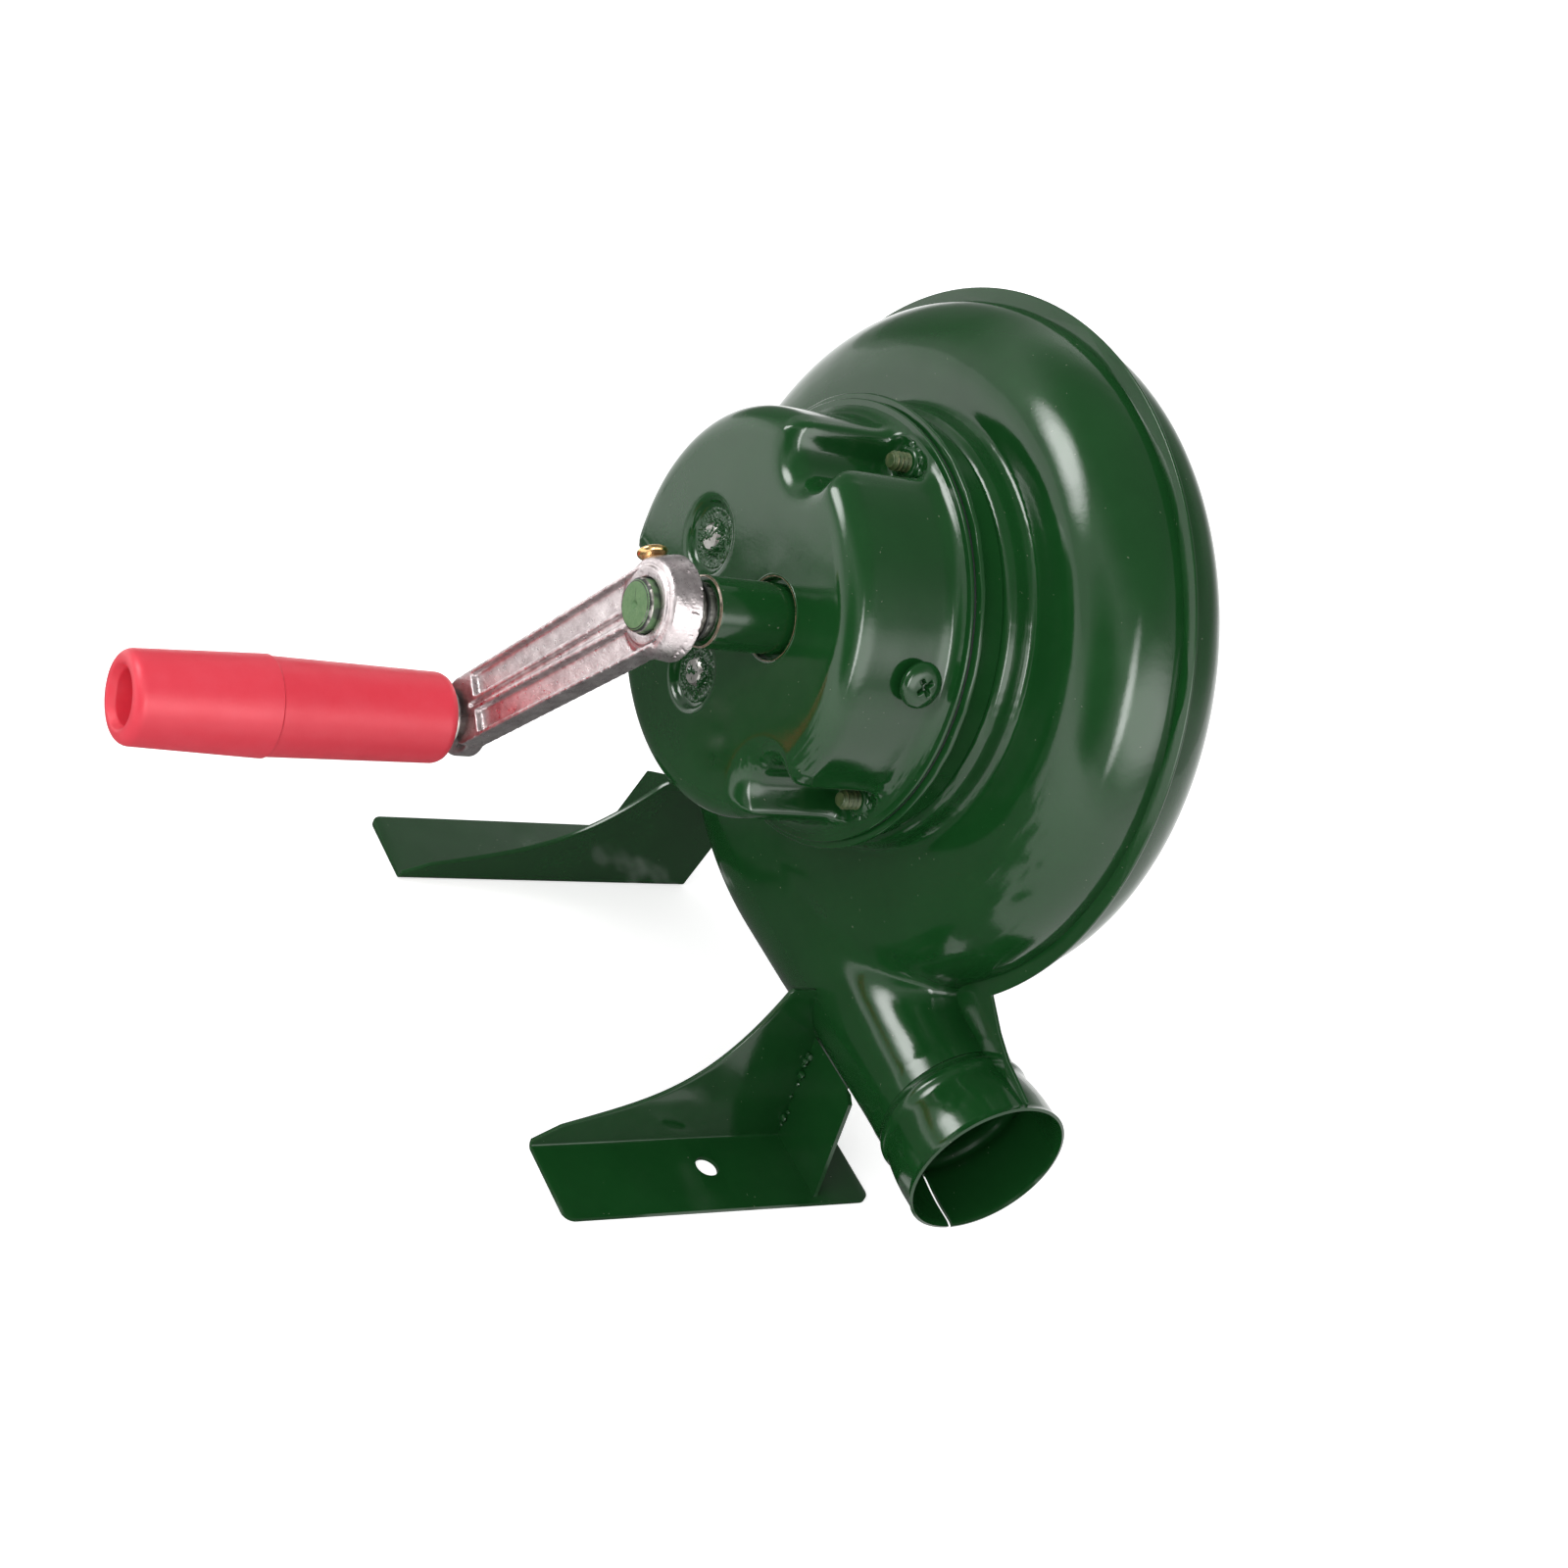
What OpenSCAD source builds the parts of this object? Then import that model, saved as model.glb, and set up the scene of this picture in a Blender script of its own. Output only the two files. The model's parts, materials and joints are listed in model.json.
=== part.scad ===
// Hand crank forge blower: a sheet steel snail casing on two welded feet, a
// geared crank in a round case on its front, and a fan inside.
// The crank faces -Y, the air leaves to +X, and Z = 0 is the floor. The origin
// lies midway between the two bolt holes of the feet.

/* [Casing] */
// Height of the fan shaft, the middle of the gear case, above the floor
shaft_h = 165.2; // [150:1:185]
// Radius of the round side of the casing, without its seam
casing_r = 108.2; // [102:1:114]
// How far the casing's middle lies below the shaft
casing_drop = 5.9; // [3:1:9]
// From the foot holes back to the seam of the two casing halves
seam_y = 51.6; // [48:1:56]
// Depth of the front half, seam to front wall
front_depth = 25.2; // [25:1:30]
// Edge radius of the front half
front_round = 24.5; // [16:0.5:25]
// Depth of the rear half, seam to rear wall
rear_depth = 25.4; // [25:1:32]
// Edge radius of the rear half
rear_round = 18; // [10:1:24]
// Width of the seam that stands out round the casing
seam_w = 3.8; // [2:0.2:6]
// Thickness of the casing sheet
sheet_t = 1.2; // [0.8:0.1:1.6]
// Radius of the air inlet in the rear wall
inlet_r = 38; // [30:1:46]
// Height of the inlet's turned out edge
inlet_edge = 6; // [3:1:12]

/* [Outlet] */
// Height of the outlet's centre above the floor
outlet_h = 56.4; // [52:1:64]
// Outer radius of the outlet's mouth
outlet_r = 26.4; // [22:0.5:27]
// Radius of the neck before the outlet
neck_r = 24; // [20:0.5:25]
// From the middle of the feet to the mouth
outlet_x = 129; // [124:1:150]
// Length of the round spout, neck to mouth
spout_l = 27; // [22:1:30]
// How far the bead behind the spout stands out
bead_h = 1.2; // [0.6:0.2:1.6]
// Length of the open slit under the mouth
slit_l = 20; // [10:1:22]
// Length of the straight end that a hose or pipe goes over
spout_end_l = 12; // [8:1:14]
// Width of the open slit under the mouth
slit_w = 1.6; // [1:0.2:3]

/* [Gear case] */
// Radius of the raised middle of the front half
collar_r = 68.6; // [67:0.5:71]
// Height of the raised middle of the front half
collar_h = 10; // [7:1:12]
// Outer radius of the gear case's base
base_r = 66.4; // [65:0.2:67]
// Depth of the gear case's base
base_h = 11; // [9:1:14]
// Outer radius of the base's front rim
base_rim_r = 70; // [69:0.5:72]
// Thickness of the gasket
gasket_t = 0.9; // [0.5:0.1:1.5]
// Outer radius of the cover's flange
flange_r = 68; // [66:0.5:69]
// Outer radius of the cover's wall
cover_r = 62; // [61:0.5:63]
// Depth of the cover, flange to face
cover_h = 38.8; // [34:1:42]
// Radius of the cover's rounded front edge
cover_round = 8; // [4:1:9]
// Radius of the notches for the cover screws
notch_r = 10; // [8:0.5:11]
// From the shaft to the cover screws
screw_ring = 58.5; // [57:0.5:60]
// Diameter of the cover screws
screw_d = 6; // [5:0.5:6.5]
// How far the cover screws stand out in front
screw_out = 8; // [5:1:12]
// Radius of the round recesses over the axles
recess_r = 11; // [9:0.5:12]
// Depth of the round recesses over the axles
recess_h = 2.5; // [1.5:0.5:3]
// Diameter of the oil screw's head
oil_head_d = 14; // [11:1:15]
// Direction of the oil screw round the shaft
oil_a = 20; // [10:1:30]

/* [Gears] */
// Tooth size, pitch diameter over number of teeth
gear_m = 1; // [0.98:0.01:1.01]
// Teeth of the gear on the crank shaft
crank_teeth = 70;
// Teeth of the first idler's pinion
pinion_a_teeth = 16;
// Teeth of the fan's pinion
pinion_teeth = 12;
// Teeth of the first idler's wheel
wheel_a_teeth = 54;
// Teeth of the second idler's pinion
pinion_b_teeth = 28;
// Teeth of the second idler's wheel
wheel_b_teeth = 39;
// Face width of the gears
gear_w = 6; // [4:0.5:6]
// Gap between one layer of gears and the next
layer_gap = 2; // [1:0.5:2.5]
// Diameter of the fixed axles
axle_d = 6; // [5:0.2:6.4]
// Sideways play of the teeth
backlash = 0.16; // [0.1:0.02:0.24]

/* [Crank] */
// Diameter of the crank shaft
shaft_d = 15.5; // [12:0.5:17]
// Outer diameter of the sleeve round the shaft
sleeve_d = 21; // [19:1:24]
// How far the sleeve stands out of the cover
sleeve_out = 24.7; // [10:1:30]
// Gap between the sleeve and the arm's boss
boss_gap = 8.4; // [7:1:14]
// Thickness of the arm's boss
boss_h = 10.6; // [9:1:18]
// Radius of the arm's boss
boss_r = 15.4; // [14:0.5:18]
// Crank radius, shaft to handle
crank_r = 99; // [90:1:115]
// Direction of the arm round the shaft, at rest
crank_a = 238.4; // [225:1:255]
// How far the arm leans forward at the handle
arm_rise = 10.5; // [5:1:12]
// Width of the arm at the handle
arm_w = 21; // [19:1:24]
// Thickness of the arm
arm_t = 8; // [7:0.5:10]

/* [Handle] */
// Outer radius of the handle
grip_r = 15.5; // [14:0.5:18]
// Length of the handle
grip_l = 102; // [90:1:120]
// Radius of the hole in the handle's end
grip_hole_r = 8.3; // [8.2:0.1:10]
// Depth of the hole in the handle's end
grip_hole_l = 62; // [55:1:66]
// Diameter of the handle's spindle
spindle_d = 10; // [8.8:0.2:11]

/* [Fan] */
// Radius of the fan
fan_r = 88; // [80:1:92]
// Number of blades
blades = 8; // [6:1:10]
// Width of the blades along the shaft
blade_w = 28; // [22:1:30]
// Diameter of the fan's shaft
fan_shaft_d = 10; // [8.4:0.2:10.6]
// Outer radius of the fan's bearing tube
bearing_r = 13; // [12:0.5:14]
// Radius of the fan's hub
hub_r = 14; // [12:0.5:16]

/* [Feet] */
// Width over both feet
base_w = 185; // [180:1:200]
// Width of a foot on the floor
foot_w = 31.5; // [28:0.5:36]
// Length of a foot in front of its bolt hole
foot_front = 60; // [50:1:70]
// Length of a foot behind its bolt hole
foot_back = 56; // [54:1:60]
// From a foot's outer edge to its bolt hole
hole_inset = 18; // [12:1:20]
// Diameter of the bolt holes
hole_d = 8; // [6:0.5:10]
// Thickness of the feet
foot_t = 1.5; // [1.2:0.1:2]
// Inward lean of a foot's web, degrees
web_lean = 11.3; // [8:0.5:14]
// Height of a foot's web at its top corner
web_h = 57; // [50:1:60]
// From the bolt hole back to the web's top corner
web_corner_y = 18; // [12:1:20]
// From the bolt hole back to the gusset
gusset_y = 34; // [30:1:42]

/* [Fits] */
// Radial clearance of turning fits
run_gap = 0.05; // [0.03:0.01:0.08]
// Clearance between pieces that are fixed together
seat_gap = 0.02; // [0.01:0.01:0.04]
// Side gap between pieces that turn past each other
side_gap = 0.35; // [0.3:0.05:0.5]

/* [Hidden] */
$fn = 96;

enamel = "darkgreen";
steel = "silver";
bronze = "peru";

// Overshoot of cutting tools past the faces that they cut
over = 1;
far = 400;

// Casing, front to back
front_y = seam_y - front_depth;
back_y = seam_y + rear_depth;
casing_z = shaft_h - casing_drop;
casing_top = casing_z + casing_r;
casing_bottom = outlet_h - neck_r;
scroll_r = (casing_top - casing_bottom) / 2;
scroll_z = (casing_top + casing_bottom) / 2;
seam_bottom = outlet_h - outlet_r;
seam_scroll_r = (casing_top + seam_w - seam_bottom) / 2;
seam_scroll_z = (casing_top + seam_w + seam_bottom) / 2;
neck_x = outlet_x - spout_l;
tongue_a = -34;
duct_top_h = 60;
duct_round = 20;

// Gear case, back to front
seat_y = front_y - collar_h;
rim_y = seat_y - base_h;
gasket_y = rim_y - gasket_t;
flange_y = gasket_y - sheet_t;
face_y = gasket_y - cover_h;
collar_round = 3;
notch_angles = [90, 210, 330];
screw_head_r = 5.5;
screw_head_h = 3.5;
thread_collar_r = screw_d / 2 + 1.5;
thread_collar_h = 2;
gasket_lip = 1.1;
gasket_inset = 0.5;
oil_thread_d = oil_head_d * 0.57;
oil_set_back = 11.5;
oil_y = flange_y - oil_set_back;
oil_nut_t = 4.5;
oil_reach = sheet_t + oil_nut_t + 1.5;

// Gear train: both axles lie at the same distance from the fan shaft, and the
// crank lies across from them, at the same distance from both
pitch = gear_m / 2;
axle_ring = (wheel_b_teeth + pinion_teeth) * pitch;
idler_span = (wheel_a_teeth + pinion_b_teeth) * pitch;
half_span_a = asin(idler_span / 2 / axle_ring);
train_a = 211;
axle_a_a = train_a - half_span_a;
axle_b_a = train_a + half_span_a;
crank_span = (crank_teeth + pinion_a_teeth) * pitch;
crank_out = sqrt(pow(crank_span, 2) - pow(idler_span / 2, 2)) - axle_ring * cos(half_span_a);
crank_x = -crank_out * cos(train_a);
crank_z = shaft_h - crank_out * sin(train_a);
addendum = 0.8 * gear_m;
dedendum = 1.1 * gear_m;
pressure_a = 25;
crank_gear_y = face_y + 13;
layer_2_y = crank_gear_y + gear_w + 2 * layer_gap;
layer_3_y = layer_2_y + gear_w + layer_gap;
wheel_t = gear_w - layer_gap / 2;
pinion_over = 0.5;
idler_hub_r = gear_m * 7.4;
axle_head_r = 4.6;
axle_head_h = 2;
axle_boss_r = axle_d / 2 + 3;
axle_boss_h = 3;
spacer_r = axle_d / 2 + 2;
pinion_seat_r = gear_m * 3;
thrust_t = 1.5;

// Crank and handle
sleeve_y = face_y - sleeve_out;
sleeve_back = crank_gear_y - 2 * side_gap - thrust_t;
sleeve_flange_r = sleeve_d / 2 + 4;
sleeve_flange_t = 1.5;
boss_back = sleeve_y - boss_gap;
boss_front = boss_back - boss_h;
shaft_front = boss_front - 3.2;
shaft_back = layer_2_y - 1;
washer_t = 1.5;
key_w = 4;
key_h = 2;
set_screw_d = 5;
set_head_d = 9;
set_head_h = 3;
arm_tilt = atan(arm_rise / crank_r);
arm_back = boss_back - arm_rise - 1;
arm_front = arm_back - arm_t - 2;
end_boss_r = arm_w / 2 + 1;
grip_back = arm_front - washer_t - 2 * side_gap;
grip_front = grip_back - grip_l;
web_front = grip_front + grip_hole_l;
grip_round = 4;
grip_step_l = 44;
grip_step = 0.5;
spindle_head_r = spindle_d / 2 + 3;
spindle_head_h = 2.5;
spindle_end_d = spindle_d - 2;
end_nut_h = 6;
nut_corner_r = spindle_end_d * 0.92;

// Fan
fan_disc_y = seat_y + 20;
fan_disc_t = 1.5;
blade_t = 1.2;
blade_root_r = 26;
blade_bend_r = 75;
blade_trail_a = -24;
blade_start_x = blade_root_r - 8;
blade_foot = 9;
fan_hub_h = 16;
fan_hub_y = fan_disc_y - 2.5;
fan_shaft_back = fan_hub_y + fan_hub_h + 14;
fan_thread_d = fan_shaft_d - 2;
fan_nut_h = 6.5;
bearing_front = seat_y - 8;
bearing_back = fan_hub_y - 2 * side_gap;
bearing_flange_r = bearing_r + 10;
bearing_flange_t = 2.5;
bush_t = 3.5;
bush_l = 7;
bearing_screw_d = 4;
bearing_screw_ring = bearing_r + 5.5;
bearing_screw_angles = [90, 210, 330];

// Feet
foot_in_x = base_w / 2 - foot_w;
hole_x = base_w / 2 - hole_inset;
foot_corner_r = 4;
web_tip_l = 9;
web_tip_h = 3;
web_low_h = 8;
web_ramp_h = 19;
web_steps = 16;
web_back_l = 6;
web_back_chamfer = 4;
weld_gap = 0.05;

// Place what is drawn about the fan shaft's line
module on_shaft() {
    translate([0, 0, shaft_h]) children();
}

// Place what is drawn about the crank shaft's line
module on_crank() {
    translate([crank_x, 0, crank_z]) children();
}

// Place at a distance and direction from the fan shaft, seen from the crank
module around_shaft(distance, angle) {
    translate([distance * cos(angle), 0, shaft_h + distance * sin(angle)]) children();
}

// Round bar along Y
module bar(r, y0, y1) {
    translate([0, y0, 0]) rotate([-90, 0, 0]) cylinder(r = r, h = y1 - y0);
}

// Tapered round bar along Y
module taper(r0, r1, y0, y1) {
    translate([0, y0, 0]) rotate([-90, 0, 0]) cylinder(r1 = r0, r2 = r1, h = y1 - y0);
}

// Tube along Y
module tube(r, hole, y0, y1) {
    difference() {
        bar(r, y0, y1);
        bar(hole, y0 - over, y1 + over);
    }
}

// Plate across Y, drawn in X and Z
module plate(y0, y1) {
    translate([0, y1, 0]) rotate([90, 0, 0]) linear_extrude(y1 - y0) children();
}

// Turn a profile of radius and Y about the Y axis
module revolve(start = 0, sweep = 360) {
    rotate([-90, 0, 0]) rotate([0, 0, start]) rotate_extrude(angle = sweep) children();
}

// Keep the part between two Y planes
module between(y0, y1) {
    intersection() {
        children();
        translate([-far, y0, -far]) cube([2 * far, y1 - y0, 2 * far]);
    }
}

// Half profile of a pan: flat wall at y0, open end at y1, rounded outer edge
module pan_profile(r, y0, y1, edge) {
    translate([0, y0]) square([r - edge, y1 - y0]);
    translate([0, y0 + edge]) square([r, y1 - y0 - edge]);
    translate([r - edge, y0 + edge]) circle(edge);
}

// Solid of both pan halves; wall is how far it lies inside the outer skin
module pans(wall) {
    translate([0, 0, casing_z]) revolve(-90, 180) pan_section(casing_r - wall, wall);
    translate([0, 0, scroll_z]) revolve(90, 180) pan_section(scroll_r - wall, wall);
}

// Front and rear pan profiles, joined at the seam
module pan_section(r, wall) {
    intersection() {
        union() {
            pan_profile(r, front_y + wall, seam_y + over, front_round - wall);
            mirror([0, 1]) pan_profile(r, wall - back_y, over - seam_y, rear_round - wall);
        }
        translate([0, -far]) square([2 * far, 2 * far]);
    }
}

// Cross section of the duct where it leaves the pans, drawn in Y and Z
module duct_section(wall) {
    low = casing_bottom + wall;
    high = casing_bottom + duct_top_h - wall;
    front = front_y + wall;
    back = back_y - wall;
    hull() {
        translate([front + front_round - wall, low + front_round - wall])
            circle(front_round - wall, $fn = 48);
        translate([back - rear_round + wall, low + rear_round - wall])
            circle(rear_round - wall, $fn = 48);
        translate([front + duct_round, high - duct_round]) circle(duct_round, $fn = 48);
        translate([back - duct_round, high - duct_round]) circle(duct_round, $fn = 48);
    }
}

// Duct that narrows from the pans to the neck
module duct(wall) {
    hull() {
        rotate([90, 0, 90]) linear_extrude(0.01) duct_section(wall);
        translate([neck_x, seam_y, outlet_h]) rotate([0, 90, 0])
            cylinder(r = neck_r - wall, h = 0.5, $fn = 64);
    }
}

// Turned outline of the spout: bead behind the neck, then a slight flare
module spout(wall, reach) {
    bead_x = neck_x + 4;
    translate([0, seam_y, outlet_h]) rotate([0, 90, 0]) rotate_extrude() {
        polygon([[0, neck_x], [neck_r - wall, neck_x], [neck_r + bead_h - wall, bead_x - 1],
            [neck_r + bead_h - wall, bead_x + 1], [neck_r + bead_h / 2 - wall, bead_x + 3],
            [outlet_r - wall, outlet_x - spout_end_l], [outlet_r - wall, outlet_x + reach],
            [0, outlet_x + reach]]);
    }
}

// Flat outline of the seam round the casing, drawn in X and Z
module seam_outline() {
    intersection() {
        translate([0, casing_z]) circle(casing_r + seam_w);
        translate([0, seam_bottom]) square([far, far]);
    }
    intersection() {
        translate([0, seam_scroll_z]) circle(seam_scroll_r);
        translate([-far, 0]) square([far, far]);
    }
    tongue_x = (casing_r + seam_w) * cos(tongue_a);
    tongue_z = casing_z + (casing_r + seam_w) * sin(tongue_a);
    polygon([[0, seam_bottom], [outlet_x - slit_l, seam_bottom],
        [outlet_x - slit_l, outlet_h], [outlet_x - 1, outlet_h],
        [outlet_x - 1, outlet_h + outlet_r + 0.3],
        [neck_x, outlet_h + neck_r + seam_w + 4], [tongue_x, tongue_z], [0, casing_z]]);
}

// Everything inside the casing's outer skin, or inside its inner one
module casing_mass(wall, reach = 0) {
    pans(wall);
    duct(wall);
    spout(wall, reach);
}

// The casing with its seam, a hair larger, to trim what is welded to it
module casing_tool() {
    casing_mass(-weld_gap);
    plate(seam_y - sheet_t - weld_gap, seam_y + sheet_t + weld_gap) seam_outline();
}

module front_casing() {
    color(enamel) difference() {
        union() {
            between(front_y - over, seam_y) casing_mass(0);
            plate(seam_y - sheet_t, seam_y) seam_outline();
            on_shaft() revolve() pan_profile(collar_r, seat_y, front_y + over, collar_round);
        }
        casing_mass(sheet_t, over);
        on_shaft() revolve()
            pan_profile(collar_r - sheet_t, seat_y + sheet_t, seam_y, collar_round - sheet_t / 2);
        on_shaft() bar(bearing_r + seat_gap, seat_y - over, seam_y);
        cover_screw_holes(seat_y - over, seam_y);
        bearing_screw_holes(seat_y - over, seam_y);
        slit();
    }
}

// The casing's two halves don't meet under the mouth
module slit() {
    translate([outlet_x - slit_l, seam_y - slit_w / 2, 0]) cube([slit_l + over, slit_w, outlet_h]);
}

module rear_casing() {
    color(enamel) difference() {
        union() {
            between(seam_y, back_y + over) casing_mass(0);
            plate(seam_y, seam_y + sheet_t) seam_outline();
            on_shaft() bar(inlet_r + sheet_t, back_y - sheet_t, back_y + inlet_edge);
        }
        casing_mass(sheet_t, over);
        on_shaft() bar(inlet_r, seam_y, back_y + inlet_edge + over);
        slit();
    }
}

// Long side plate of a foot, leaning in towards the casing. Its top edge
// runs low at the front, then climbs steeply to the corner under the casing
module foot_web() {
    run = web_corner_y + foot_front - web_tip_l;
    curve = [for (i = [0 : web_steps]) let (u = i / web_steps)
        [web_tip_l - foot_front + u * run,
         web_low_h + web_ramp_h * u + (web_h - web_low_h - web_ramp_h) * pow(u, 4)]];
    back = foot_back + web_back_l;
    intersection() {
        translate([foot_in_x, 0, 0]) rotate([0, -web_lean, 0])
            rotate([90, 0, 90]) linear_extrude(foot_t)
                polygon(concat([[-foot_front, -over], [-foot_front, web_tip_h]], curve,
                    [[back, web_h], [back, web_back_chamfer], [foot_back - 3, -over]]));
        translate([0, -far, 0]) cube([far, 2 * far, far]);
    }
}

// Floor plate of a foot, with rounded outer corners and its bolt hole
module foot_plate() {
    difference() {
        union() {
            translate([foot_in_x, -foot_front, 0])
                cube([foot_w - foot_corner_r, foot_front + foot_back, foot_t]);
            translate([foot_in_x, foot_corner_r - foot_front, 0])
                cube([foot_w, foot_front + foot_back - 2 * foot_corner_r, foot_t]);
            for (y = [foot_corner_r - foot_front, foot_back - foot_corner_r])
                translate([base_w / 2 - foot_corner_r, y, 0])
                    cylinder(r = foot_corner_r, h = foot_t);
        }
        translate([hole_x, 0, -over]) cylinder(d = hole_d, h = foot_t + 2 * over);
    }
}

// Side is 1 for the foot under the outlet and -1 for the other
module foot(side) {
    color(enamel) difference() {
        mirror([side < 0 ? 1 : 0, 0, 0]) {
            foot_plate();
            foot_web();
        }
        casing_tool();
    }
}

module left_foot() {
    foot(-1);
}

module right_foot() {
    foot(1);
}

// Upright plate across a foot, from its web out to its edge and up to the casing
module gusset(side) {
    lean = tan(web_lean);
    inner = foot_in_x + foot_t / cos(web_lean) + weld_gap;
    top = web_h + 11;
    toe_x = base_w / 2 - 2.5;
    knee = [base_w / 2 - 10, web_h - 20.5];
    shoulder = [foot_in_x + 9, web_h - 12];
    color(enamel) difference() {
        mirror([side < 0 ? 1 : 0, 0, 0])
            plate(gusset_y, gusset_y + foot_t)
                polygon([[inner - lean * foot_t, foot_t + weld_gap],
                    [toe_x, foot_t + weld_gap], knee, shoulder, [foot_in_x - 2, top],
                    [inner - lean * top, top]]);
        casing_tool();
    }
}

module left_gusset() {
    gusset(-1);
}

module right_gusset() {
    gusset(1);
}

module cover_screw_holes(y0, y1) {
    for (a = notch_angles) around_shaft(screw_ring, a) bar(screw_d / 2 + run_gap, y0, y1);
}

module bearing_screw_holes(y0, y1) {
    for (a = bearing_screw_angles)
        around_shaft(bearing_screw_ring, a) bar(bearing_screw_d / 2 + run_gap, y0, y1);
}

module axle_holes(y0, y1) {
    for (a = [axle_a_a, axle_b_a])
        around_shaft(axle_ring, a) bar(axle_d / 2 + seat_gap, y0, y1);
}

// Dish under the gears: rim in front, wall, and a floor with two axle bosses
module gear_base() {
    floor_y = seat_y - sheet_t;
    color(enamel) difference() {
        union() {
            on_shaft() tube(base_r, base_r - sheet_t, rim_y, seat_y);
            on_shaft() tube(base_rim_r, base_r - sheet_t, rim_y, rim_y + sheet_t);
            on_shaft() bar(base_r, floor_y, seat_y);
            for (a = [axle_a_a, axle_b_a])
                around_shaft(axle_ring, a) bar(axle_boss_r, floor_y - axle_boss_h, seat_y);
        }
        on_shaft() bar(bearing_r + seat_gap, rim_y, seat_y + over);
        cover_screw_holes(rim_y, seat_y + over);
        bearing_screw_holes(rim_y, seat_y + over);
        axle_holes(rim_y, seat_y + over);
    }
}

module gasket() {
    color("dimgray") on_shaft()
        tube(base_r + gasket_lip, base_r - sheet_t - gasket_inset,
            gasket_y + seat_gap, rim_y - seat_gap);
}

// Body of the cover without its flange; wall is how far it lies inside
module cover_mass(wall) {
    difference() {
        on_shaft() revolve()
            pan_profile(cover_r - wall, face_y + wall, gasket_y + over, cover_round - wall);
        for (a = notch_angles)
            around_shaft(screw_ring, a) bar(notch_r + wall, face_y - over, gasket_y + 2 * over);
        for (a = [axle_a_a, axle_b_a])
            around_shaft(axle_ring, a)
                bar(recess_r + wall, face_y - over, face_y + recess_h + wall);
    }
}

module gear_cover() {
    color(enamel) difference() {
        union() {
            between(face_y, gasket_y) cover_mass(0);
            on_shaft() bar(flange_r, flange_y, gasket_y);
            for (a = notch_angles)
                around_shaft(screw_ring, a) bar(thread_collar_r, flange_y - thread_collar_h, gasket_y);
        }
        cover_mass(sheet_t);
        on_crank() bar(sleeve_d / 2 + seat_gap, face_y - over, face_y + 2 * over);
        cover_screw_holes(flange_y - thread_collar_h - over, gasket_y + over);
        axle_holes(face_y - over, face_y + recess_h + sheet_t + over);
        oil_place() cylinder(d = oil_thread_d + 2 * run_gap, h = 4 * over + sheet_t, center = true);
    }
}

// At the cover's wall, with Z along the oil screw, outwards
module oil_place() {
    translate([0, oil_y, shaft_h]) rotate([0, 90 - oil_a, 0]) translate([0, 0, cover_r]) children();
}

module oil_screw() {
    head_h = oil_head_d * 0.36;
    slot_w = oil_head_d * 0.13;
    slot_l = oil_head_d * 0.5;
    head_z = 0.6;
    color(enamel) oil_place() difference() {
        union() {
            translate([0, 0, -oil_reach]) cylinder(d = oil_thread_d, h = oil_reach + head_z);
            translate([0, 0, head_z]) cylinder(d1 = oil_head_d * 0.78, d2 = oil_head_d, h = head_h / 2);
            translate([0, 0, head_z + head_h / 2])
                cylinder(d1 = oil_head_d, d2 = oil_head_d * 0.72, h = head_h / 2);
        }
        for (turn = [45, 135])
            rotate(turn) translate([-slot_l / 2, -slot_w / 2, head_h - slot_w])
                cube([slot_l, slot_w, head_h]);
    }
}

module oil_screw_nut() {
    color(steel) oil_place() difference() {
        translate([0, 0, -sheet_t - oil_nut_t - side_gap])
            cylinder(d = oil_thread_d * 1.75, h = oil_nut_t, $fn = 6);
        translate([0, 0, -oil_reach - over]) cylinder(d = oil_thread_d + 2 * seat_gap, h = far / 8);
    }
}

module cover_screws() {
    head_y = seat_y + sheet_t + seat_gap;
    color(steel) for (a = notch_angles)
        around_shaft(screw_ring, a) {
            bar(screw_d / 2, flange_y - screw_out, head_y);
            taper(screw_head_r, screw_head_r * 0.7, head_y, head_y + screw_head_h);
        }
}

module shaft_sleeve() {
    flange_front = face_y + sheet_t + seat_gap;
    color(enamel) on_crank() difference() {
        union() {
            bar(sleeve_d / 2, sleeve_y + 0.8, sleeve_back);
            taper(sleeve_d / 2 - 0.8, sleeve_d / 2, sleeve_y, sleeve_y + 0.8);
            bar(sleeve_flange_r, flange_front, flange_front + sleeve_flange_t);
        }
        bar(shaft_d / 2 + run_gap, sleeve_y - over, sleeve_back + over);
    }
}

// Key seat between the shaft and what turns with it
module key_seat(y0, y1, clear) {
    translate([-key_w / 2 - clear, y0, shaft_d / 2 - key_h])
        cube([key_w + 2 * clear, y1 - y0, 2 * key_h + clear]);
}

module crank_shaft() {
    chamfer = 1;
    color(steel) on_crank() difference() {
        union() {
            taper(shaft_d / 2 - chamfer, shaft_d / 2, shaft_front, shaft_front + chamfer);
            bar(shaft_d / 2, shaft_front + chamfer, shaft_back);
        }
        key_seat(crank_gear_y - pinion_over, shaft_back + over, seat_gap);
        taper(1.6, 0.4, shaft_front - seat_gap, shaft_front + 1.2);
    }
}

module crank_key() {
    color(steel) on_crank() key_seat(crank_gear_y, crank_gear_y + gear_w, 0);
}

// Angle, in degrees, that an involute has unrolled at radius r
function roll(base, r) = sqrt(pow(max(r, base) / base, 2) - 1) * 180 / PI;
function unwound(base, r) = roll(base, r) - atan(roll(base, r) * PI / 180);

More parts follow.
